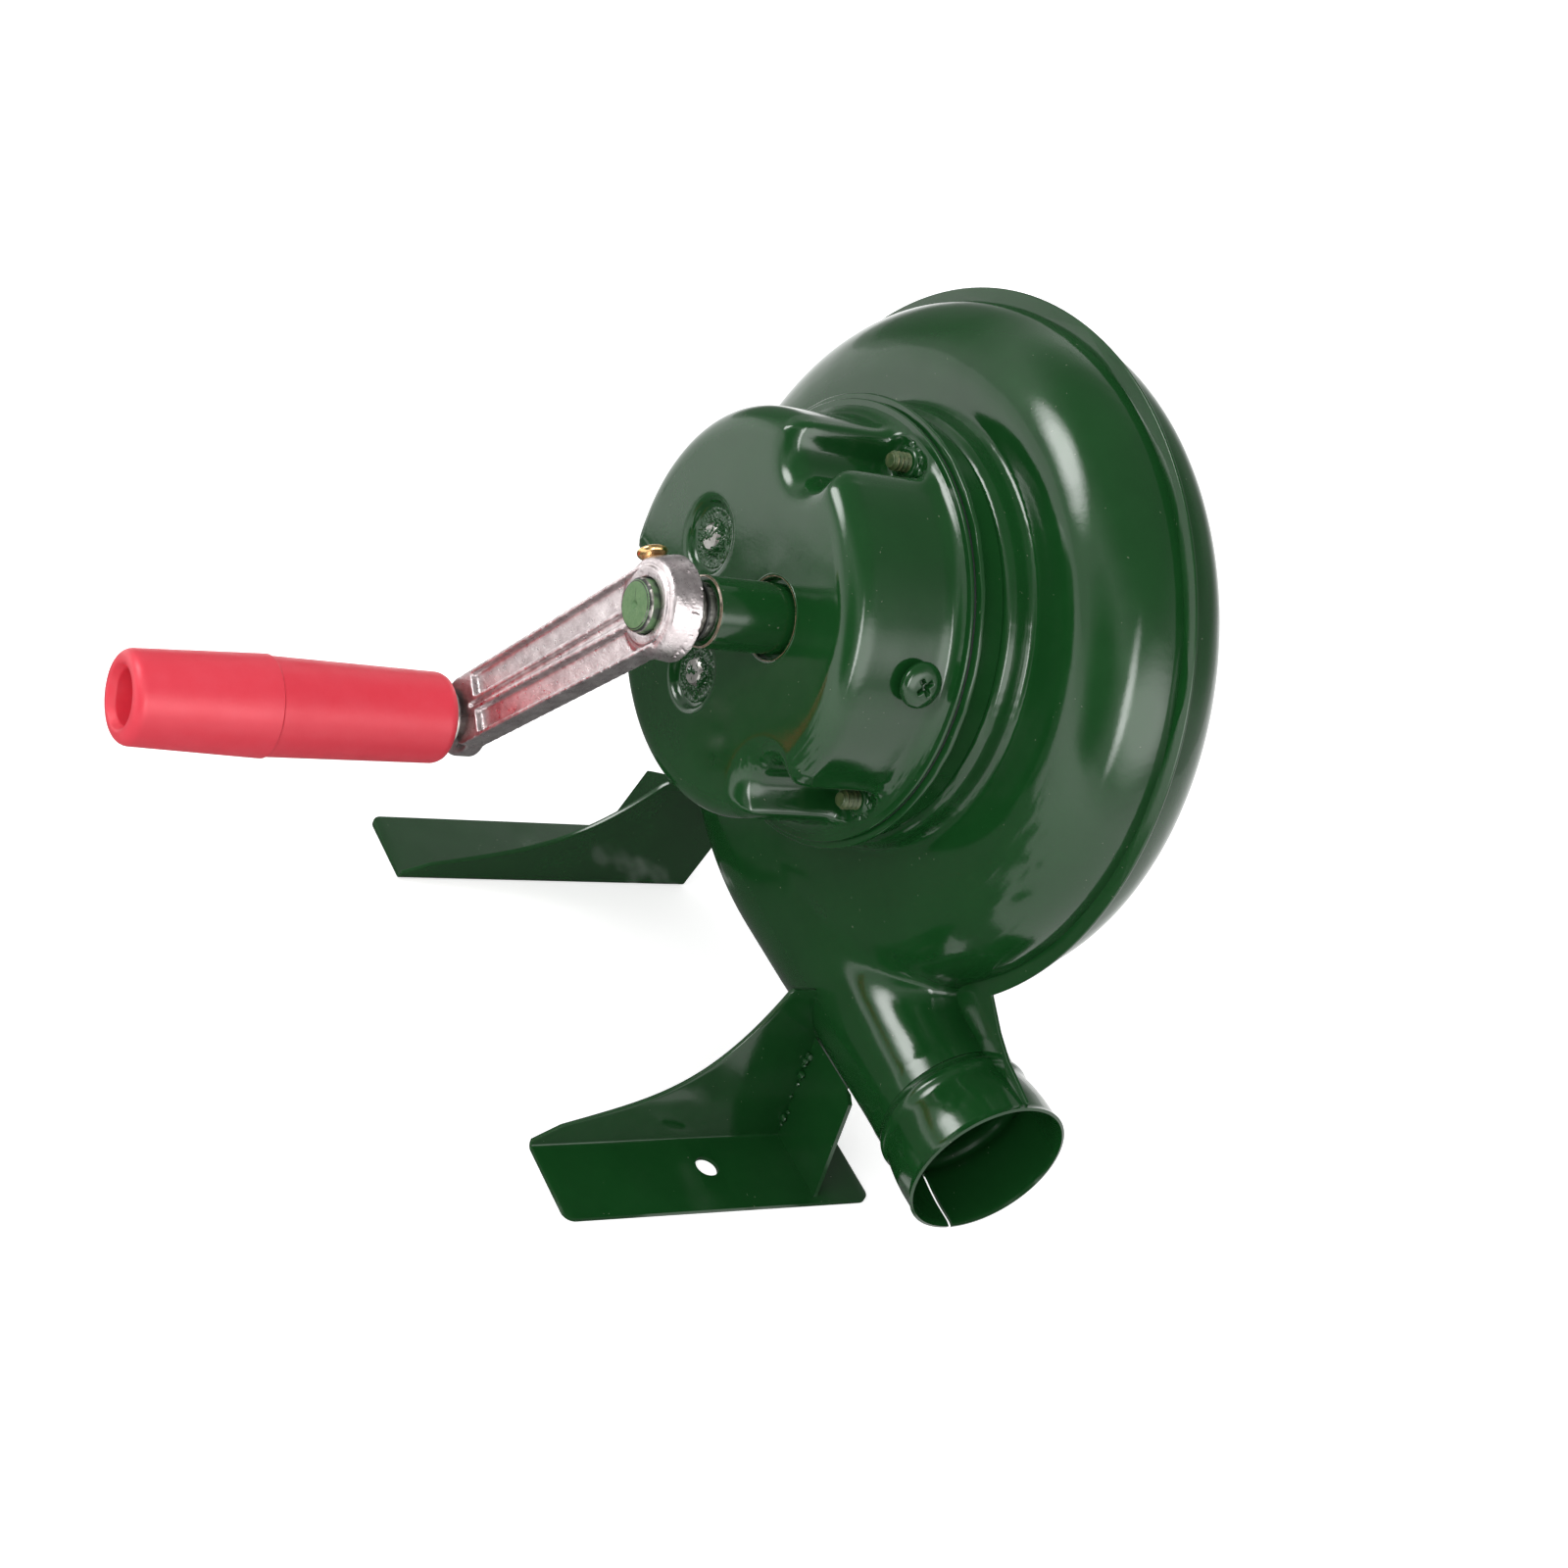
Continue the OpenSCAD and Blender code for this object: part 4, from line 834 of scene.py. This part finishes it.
ARM_FACE = BOSS_BACK - ARM_T - 2
ROOT_HALF, FIELD_END = BOSS_R - 3, CRANK_R - 6.5
FIELD_DEPTH, GROOVE_DEPTH = 2.2, 1.3
web = flat_bar([(8, ROOT_HALF, 0), (CRANK_R + 5, ARM_W / 2, 3), (CRANK_R + 5, -ARM_W / 2, 3),
                (8, -ROOT_HALF, 0)], ARM_FACE, BOSS_BACK - 2)
boss = turned([(0, BOSS_FRONT + 0.7), (13.3, BOSS_FRONT + 0.7, 0.9), (14.3, BOSS_FRONT + 2.0, 0.8),
               (BOSS_R, BOSS_BACK - 0.4, 0.4), (0, BOSS_BACK)], CRANK, steps=128)
face_ring = turned([(8.25, BOSS_FRONT + 2), (8.25, BOSS_FRONT + 0.05, 0.3), (11.0, BOSS_FRONT, 0.3),
                    (11.5, BOSS_FRONT + 0.55, 0.2), (12.1, BOSS_FRONT + 0.6, 0.2), (12.4, BOSS_FRONT + 2)],
                   CRANK, steps=144, closed=True)
end_boss = turned([(0, ARM_FRONT), (7.6, ARM_FRONT, 0.5), (7.6, ARM_FRONT + 3.6),
                   (11.4, ARM_FRONT + 3.8, 0.6), (11.4, ARM_BACK, 1), (0, ARM_BACK)], HANDLE, steps=96)


def field(sign):
    """Sunk field above or below the ridge."""
    return flat_bar([(4, 3.4 * sign, 0), (FIELD_END, 2.2 * sign, 0),
                     (FIELD_END, (ARM_W / 2 - 1.3) * sign, 0), (4, (ROOT_HALF - 1.2) * sign, 0)],
                    ARM_FACE - 6, ARM_FACE + FIELD_DEPTH)


groove = flat_bar([(4, 1.5, 0), (FIELD_END + 3, 0.7, 0), (FIELD_END + 3, -0.7, 0), (4, -1.5, 0)],
                  ARM_FACE - 6, ARM_FACE + GROOVE_DEPTH)
web = shaped(web, [field(1), field(-1), groove])
arm = shaped(joined(web, boss, end_boss), voxel=0.42, rounds=3)
for v in arm.verts:
    pits = max(0, noise.noise(v.co * 0.9) - 0.32)
    if v.co.y > BOSS_BACK - 4:
        v.co -= v.normal * pits * 1.6
arm = shaped(arm, [bar(SHAFT_R + 0.45, -100, -40, CRANK), bar(5.02, -110, -40, HANDLE)])
piece("crank_casting", joined(arm, face_ring), "crank", "cast_aluminium", ["crank_arm"], crisp=60)

# %% Painted end of the shaft, with painted shade in the bore round it
STUB = ends_of("crank_shaft")[0]
stub = turned([(0, STUB + 1.3), (0.5, STUB + 1.1), (1.3, STUB, 0.15), (SHAFT_R - 1.0, STUB - 0.05, 0.4),
               (SHAFT_R, STUB + 1.1, 0.5), (SHAFT_R + 0.1, BOSS_FRONT + 2.4), (0, BOSS_FRONT + 2.4)],
              CRANK, steps=96)
piece("stub_paint_coat", stub, "crank", "green_enamel", look=stub_green)
# A black ring in the bore round the shaft's end is painted shade of the narrow gap between the shaft and the
# boss.
gap = turned([(SHAFT_R + 0.1, BOSS_FRONT + 1.1), (SHAFT_R + 0.5, BOSS_FRONT + 1.0),
              (SHAFT_R + 0.5, BOSS_FRONT + 4), (SHAFT_R + 0.1, BOSS_FRONT + 4)],
             CRANK, steps=96, closed=True)
piece("bore_painted_shade", gap, "crank", "black_gasket")

# %% Shaft and thin rings behind the boss, painted near black as painted shade of the gap
frame["nodes"]["crank_shaft"].data.materials[0] = gap_shade
# The thin rings behind the boss wear the same painted shade.
rings = [turned([(SHAFT_R + 0.1, y), (9.4, y, 0.25), (9.4, y + 0.8, 0.25), (SHAFT_R + 0.1, y + 0.8)],
                CRANK, steps=96, closed=True) for y in (BOSS_BACK + 2.6, BOSS_BACK + 5.0)]
piece("shaft_rings", joined(*rings), "crank", "bare_steel", look=gap_shade)

# %% Grip
GRIP_FRONT, GRIP_BACK = ends_of("handle_grip")
GRIP_R, GRIP_HOLE_R, SPINDLE_R = 15.5, 8.3, 5.05
STEP_Y, WEB_Y = GRIP_FRONT + 44, GRIP_FRONT + 62
grip = turned([(GRIP_HOLE_R, GRIP_FRONT + 2.2, 0.3), (GRIP_HOLE_R + 1.5, GRIP_FRONT, 0.5),
               (14.0, GRIP_FRONT, 3.4), (GRIP_R, STEP_Y - 0.4), (GRIP_R, STEP_Y, 0.2),
               (GRIP_R - 0.5, STEP_Y + 0.3, 0.2), (14.1, GRIP_BACK - 1.8, 0.8), (13.2, GRIP_BACK, 0.6),
               (SPINDLE_R, GRIP_BACK), (SPINDLE_R, WEB_Y), (GRIP_HOLE_R, WEB_Y, 0.5)],
              HANDLE, steps=144, closed=True)
piece("grip_tube", grip, "grip", "red_plastic", ["handle_grip"])

# %% [markdown]
# ## Feet
#
# Each foot is one bent sheet: a floor plate with a bolt hole and a tall web
# that leans in until it meets the casing. The web starts as a grid of upright
# strips. A ray from the foot of each strip finds the casing, and the strip
# ends there or on the web's own curved top edge, whichever comes first.

# %% Sheet metal feet
BASE_W, FOOT_W, FOOT_T = 185, 31.5, 1.5
FOOT_FRONT, FOOT_BACK, LEAN = -60, 56, 11.3
BEND_R, PLATE_ROUND, BOLT_X, BOLT_R = 2.5, 4, BASE_W / 2 - 18, 4
casing_tree = BVHTree.FromBMesh(body_skin)


def web_top(y):
    """Height of the web's own top edge."""
    u = min(max((y + 51) / 69, 0), 1)
    low_end = 3 + min((y - FOOT_FRONT) / 9, 1) * 5
    return min(low_end + 19 * u + 30 * u ** 4, 57)


def foot(side):
    """Bent sheet of one foot. The right one has side 1, and the left one is its mirror image."""
    inner, outer = BASE_W / 2 - FOOT_W, BASE_W / 2
    lean = math.radians(LEAN)
    rise = Vector((-math.sin(lean), 0, math.cos(lean)))
    sheet = bmesh.new()
    bmesh.ops.create_grid(sheet, x_segments=128, y_segments=14, size=0.5)
    for v in sheet.verts:
        u, w = v.co.x + 0.5, v.co.y + 0.5
        y = FOOT_FRONT + (FOOT_BACK - FOOT_FRONT) * (u - 0.13 * math.sin(2 * math.pi * u))
        start = Vector((inner, y, BEND_R))
        hit = casing_tree.ray_cast(Vector((inner * side, y, BEND_R)),
                                   Vector((rise.x * side, 0, rise.z)))[3]
        height = web_top(y) / math.cos(lean) - BEND_R
        if hit is not None:
            height = min(height, hit + 1.5)
        v.co = start + rise * max(height, 0.4) * w
        v.tag = w < 0.001
    hem = [e for e in sheet.edges if all(v.tag for v in e.verts)]
    bend = bmesh.ops.spin(sheet, geom=hem + list({v for e in hem for v in e.verts}), steps=6,
                          cent=(inner + BEND_R, 0, BEND_R), axis=(0, 1, 0),
                          angle=math.radians(LEAN - 90), use_merge=False)
    rim = [e for e in bend["geom_last"] if isinstance(e, bmesh.types.BMEdge)]
    lip = bmesh.ops.extrude_edge_only(sheet, edges=rim)
    for v in verts_of(lip):
        gap = max(0, PLATE_ROUND - min(v.co.y - FOOT_FRONT, FOOT_BACK - v.co.y))
        v.co.x = outer - PLATE_ROUND + math.sqrt(PLATE_ROUND ** 2 - gap * gap)
    bmesh.ops.remove_doubles(sheet, verts=sheet.verts, dist=0.01)
    bmesh.ops.recalc_face_normals(sheet, faces=sheet.faces)
    return sheet


def finished_foot(side):
    """Foot with its thickness, soft edges and bolt hole. The left one is mirrored at the end."""
    sheet = foot(side)
    if min(sheet.faces, key=lambda f: f.calc_center_median().z).normal.z < 0:
        bmesh.ops.reverse_faces(sheet, faces=sheet.faces)
    obj = as_object(sheet, "foot_wall")
    wall = obj.modifiers.new("wall", "SOLIDIFY")
    wall.thickness = FOOT_T
    wall.offset = 1
    soft = obj.modifiers.new("soft", "BEVEL")
    soft.width = 0.3
    soft.segments = 2
    soft.angle_limit = math.radians(50)
    hole = turned([(0, -5), (BOLT_R, -5), (BOLT_R, 5), (0, 5)], Vector((BOLT_X, 0, 0)), "Z", steps=40)
    done = shaped(baked(obj), [hole])
    if side < 0:
        bmesh.ops.scale(done, vec=(-1, 1, 1), verts=done.verts)
        bmesh.ops.reverse_faces(done, faces=done.faces)
    return done


piece("foot_right", finished_foot(1), "frame", "green_enamel", ["right_foot"])
piece("foot_left", finished_foot(-1), "frame", "green_enamel", ["left_foot"])

# %% Weld spatter where the gussets meet the webs
GUSSET_Y = ends_of("right_gusset")[0]
welds = []
for side in (-1, 1):
    for i, z in enumerate((6, 9, 11.5, 17, 22, 26, 29, 31, 33)):
        web_x = BASE_W / 2 - FOOT_W - math.tan(math.radians(LEAN)) * z + FOOT_T
        place = (side * (web_x + 0.6 + 0.5 * (i % 3)), GUSSET_Y - 0.4 - 0.5 * (i % 2), z)
        welds.append(blob(place, 0.7 + 0.55 * (i % 4 == 1) + 0.5 * (z > 28), (1.2, 1, 1.1), z))
piece("foot_welds", joined(*welds), "frame", "green_enamel")

# %% [markdown]
# ## Heads and rivets
#
# The oil screw has a domed head with a cross recess. The set screw on the
# crank boss is a small plated one with a slot. The peened axle ends in the
# recesses are drowned in paint: a dome is pushed about by noise.

# %% Oil screw


def block(*size):
    """Box round the origin."""
    bm = bmesh.new()
    bmesh.ops.create_cube(bm, size=1)
    bmesh.ops.scale(bm, vec=size, verts=bm.verts)
    return bm


oil_place = Matrix.Translation((0, -8.2, SHAFT_Z)) @ Matrix.Rotation(math.radians(70), 4, "Y") @ \
    Matrix.Translation((0, 0, CAP_R))
head = turned([(0, -7.2), (3.7, -7.2, 0.4), *thread(4.0, -6.5, 1.5), (5.2, 1.2, 0.3), (7.0, 1.8, 0.5),
               (7.0, 3.4, 0.9), (5.4, 4.9, 1.6), (0, 5.3)], Vector((0, 0, 0)), "Z", steps=64)
blades = []
for turn in (40, 130):
    blade = block(7.6, 1.9, 3.2)
    for v in blade.verts:
        if v.co.z < 0:
            v.co.x *= 0.45
            v.co.y *= 0.6
    bmesh.ops.rotate(blade, verts=blade.verts, matrix=Matrix.Rotation(math.radians(turn), 3, "Z"))
    bmesh.ops.translate(blade, verts=blade.verts, vec=(0, 0, 4.6))
    blades.append(blade)
head = shaped(head, blades, voxel=0.2, rounds=3)
bmesh.ops.transform(head, matrix=oil_place, verts=head.verts)
piece("oil_plug", head, "frame", "green_enamel", ["oil_screw"])

# %% Set screw, square to the arm
SEAT = BOSS_R - 0.9
screw = turned([(0, 8), (2.5, 8), (2.5, SEAT), (3.2, SEAT + 0.5, 0.2), (4.6, SEAT + 1.7, 0.8),
                (4.4, SEAT + 3.1, 1.2), (0, SEAT + 3.9)], Vector((0, 0, 0)), "Z", steps=64)
slot = block(12, 1.1, 1.6)
bmesh.ops.translate(slot, verts=slot.verts, vec=(0, 0, SEAT + 4))
screw = shaped(screw, [slot], voxel=0.16, rounds=3)
screw_place = Matrix.Translation(CRANK + Vector((0, (BOSS_FRONT + BOSS_BACK) / 2, 0))) @ \
    Matrix.Rotation(math.radians(180 - CRANK_A), 4, "Y")
bmesh.ops.transform(screw, matrix=screw_place, verts=screw.verts)
piece("boss_screw", screw, "crank", "yellow_zinc", ["set_screw"])

# %% Peened axle ends under paint
rivets = []
floor_y = FACE_Y + RECESS_DEPTH
DOME_R = 6
for place in AXLES:
    rivet = turned([(0, floor_y + 0.3), (9.8, floor_y + 0.3), (9.2, floor_y - 0.4, 0.3),
                    (7.4, floor_y - 0.1, 0.3), (5.9, floor_y - 0.2, 0.3), (5.2, floor_y - 1.3, 0.7),
                    (3.0, floor_y - 1.9, 0.5), (0, floor_y - 2.3)], place, steps=96)
    bmesh.ops.subdivide_edges(rivet, edges=rivet.edges[:], cuts=2, use_grid_fill=True)
    for v in rivet.verts:
        away = math.hypot(v.co.x - place.x, v.co.z - place.z)
        crinkle = noise.noise(v.co * 0.55) + 0.7 * noise.noise(v.co * 1.4)
        v.co.y -= (0.9 if away < DOME_R else 0.35) * crinkle * (v.co.y < floor_y)
    rivets.append(rivet)
piece("axle_rivets", joined(*rivets), "frame", "green_enamel")

# %% [markdown]
# ## Floor and light
#
# The photograph has a white background. The floor and the world are white to
# the camera and in reflections, while a lower level of light falls on the
# object. The floor keeps the object's shadow. In reflections it is dark beside
# the object, with a ragged edge, as the enamel in the photograph shows it.

# %% White surroundings


def seen_directly(tree):
    """1 for the camera, for reflections and through glass, and 0 for light that falls on the object."""
    path = node(tree, "LightPath").outputs
    shown = maths(tree, "MAXIMUM", path["Is Camera Ray"], path["Is Glossy Ray"])
    return maths(tree, "MAXIMUM", shown, path["Is Transmission Ray"])


world = bpy.data.worlds.new("studio")
scene.world = world
world.use_nodes = True
tree = world.node_tree
tree.nodes.clear()
seen = node(tree, "Background", [("Color", (1, 1, 1, 1)), ("Strength", 1.0)])
felt = node(tree, "Background", [("Color", (1, 1, 1, 1)), ("Strength", 0.5)])
choice = node(tree, "MixShader", [("Fac", seen_directly(tree)), (1, felt.outputs[0]),
              (2, seen.outputs[0])])
node(tree, "OutputWorld", [("Surface", choice.outputs[0])])

floor_mesh = bmesh.new()
bmesh.ops.create_grid(floor_mesh, x_segments=2, y_segments=2, size=4)
floor = as_object(floor_mesh, "floor")
paint = bpy.data.materials.new("floor_white")
paint.use_nodes = True
tree = paint.node_tree
matt = tree.nodes["Principled BSDF"]
matt.inputs["Base Color"].default_value = (0.9, 0.9, 0.9, 1)
matt.inputs["Roughness"].default_value = 0.9
place = node(tree, "TexCoord")
reach = node(tree, "VectorMath", [(0, place.outputs["Object"])], operation="LENGTH")
fade = node(tree, "MapRange", [("Value", reach.outputs["Value"]), ("From Min", 0.2),
            ("From Max", 0.7), ("To Min", 0.62), ("To Max", 1.0)])
glow = node(tree, "Emission", [("Color", (1, 1, 1, 1)), ("Strength", fade.outputs[0])])
lit = node(tree, "AddShader", [(0, matt.outputs[0]), (1, glow.outputs[0])])
choice = node(tree, "MixShader", [("Fac", seen_directly(tree)), (1, matt.outputs[0]),
              (2, lit.outputs[0])])
ragged = node(tree, "TexNoise", [("Vector", place.outputs["Object"]), ("Scale", 16.0),
              ("Detail", 4.0)])
from_shade = node(tree, "VectorMath", [(0, place.outputs["Object"]), (1, (-0.07, -0.12, 0))],
                  operation="DISTANCE")
beside = maths(tree, "MULTIPLY_ADD", ragged.outputs[0], 0.6, from_shade.outputs["Value"])
shade = node(tree, "MapRange", [("Value", beside), ("From Min", 0.53), ("From Max", 0.56),
             ("To Min", 0.85), ("To Max", 0.0)])
mirrored = node(tree, "LightPath")
dimmed = maths(tree, "MULTIPLY", mirrored.outputs["Is Glossy Ray"], shade.outputs[0])
dark = node(tree, "Emission", [("Strength", 0.0)])
last = node(tree, "MixShader", [("Fac", dimmed), (1, choice.outputs[0]), (2, dark.outputs[0])])
tree.links.new(last.outputs[0], tree.nodes["Material Output"].inputs["Surface"])
floor.data.materials.append(paint)

# %% Soft lamps
STUDIO_MIDDLE = Vector((0, 0, 0.15))


def aimed(obj, azimuth, height, distance):
    """Place a lamp or card at an azimuth from -Y towards +X, facing the object."""
    a, h = math.radians(azimuth), math.radians(height)
    away = Vector((math.sin(a) * math.cos(h), -math.cos(a) * math.cos(h), math.sin(h)))
    obj.location = STUDIO_MIDDLE + away * distance
    obj.rotation_euler = (-away).to_track_quat("-Z", "Y").to_euler()


def softbox(name, azimuth, height, distance, size, brightness):
    """Square lamp that reflections don't see."""
    light = bpy.data.lights.new(name, "AREA")
    light.shape = "SQUARE"
    light.size = size
    light.energy = brightness * math.pi * size * size
    lamp = bpy.data.objects.new(name, light)
    lamp.visible_glossy = False
    scene.collection.objects.link(lamp)
    aimed(lamp, azimuth, height, distance)


softbox("window", 25, 30, 1.3, 0.9, 3.2)
softbox("overhead", -60, 80, 1.3, 1.0, 1.6)

# %% [markdown]
# Only reflections see the cards. A bright card adds a highlight, and a flag
# takes some of the white away. Both fade towards their rims, because a hard
# rim would draw a window on the enamel.

# %% Cards and flags for the reflections


def card(name, azimuth, height, distance, half_size, glow, passes):
    """Card that glows and lets a part of what is behind it pass."""
    mesh = bmesh.new()
    bmesh.ops.create_grid(mesh, x_segments=1, y_segments=1, size=1)
    obj = as_object(mesh, name)
    obj.scale = (*half_size, 1)
    obj.visible_camera = obj.visible_diffuse = obj.visible_shadow = obj.visible_transmission = False
    material = bpy.data.materials.new(name)
    material.use_nodes = True
    tree = material.node_tree
    tree.nodes.clear()
    place = node(tree, "TexCoord")
    reach = node(tree, "VectorMath", [(0, place.outputs["Object"])], operation="LENGTH")
    full = node(tree, "MapRange", [("Value", reach.outputs["Value"]), ("From Min", 1.0),
                ("From Max", 0.3)], interpolation_type="SMOOTHSTEP").outputs[0]
    tint = mixed(tree, full, (1, 1, 1, 1), (passes, passes, passes, 1))
    clear = node(tree, "BsdfTransparent", [("Color", tint)])
    shine = node(tree, "Emission", [("Strength", maths(tree, "MULTIPLY", full, glow))])
    both = node(tree, "AddShader", [(0, clear.outputs[0]), (1, shine.outputs[0])])
    node(tree, "OutputMaterial", [("Surface", both.outputs[0])])
    obj.data.materials.append(material)
    aimed(obj, azimuth, height, distance)


card("right_card", 95, 20, 1.3, (1.15, 0.55), 4.2, 0.6)
card("right_core", 66, 22, 1.25, (0.15, 0.6), 11.0, 0.9)
card("front_card", -27, 27, 1.3, (0.40, 0.46), 14.0, 0.5)
card("overhead_flag", 0, 90, 1.5, (2.6, 2.6), 0.0, 0.25)
card("front_flag", 25, 12, 1.6, (0.95, 0.8), 0.0, 0.15)
card("left_flag", -95, 12, 1.6, (1.5, 0.9), 0.0, 0.25)
card("back_flag", 180, 30, 1.7, (2.2, 1.0), 0.0, 0.35)

# %% Finish
body_skin.free()
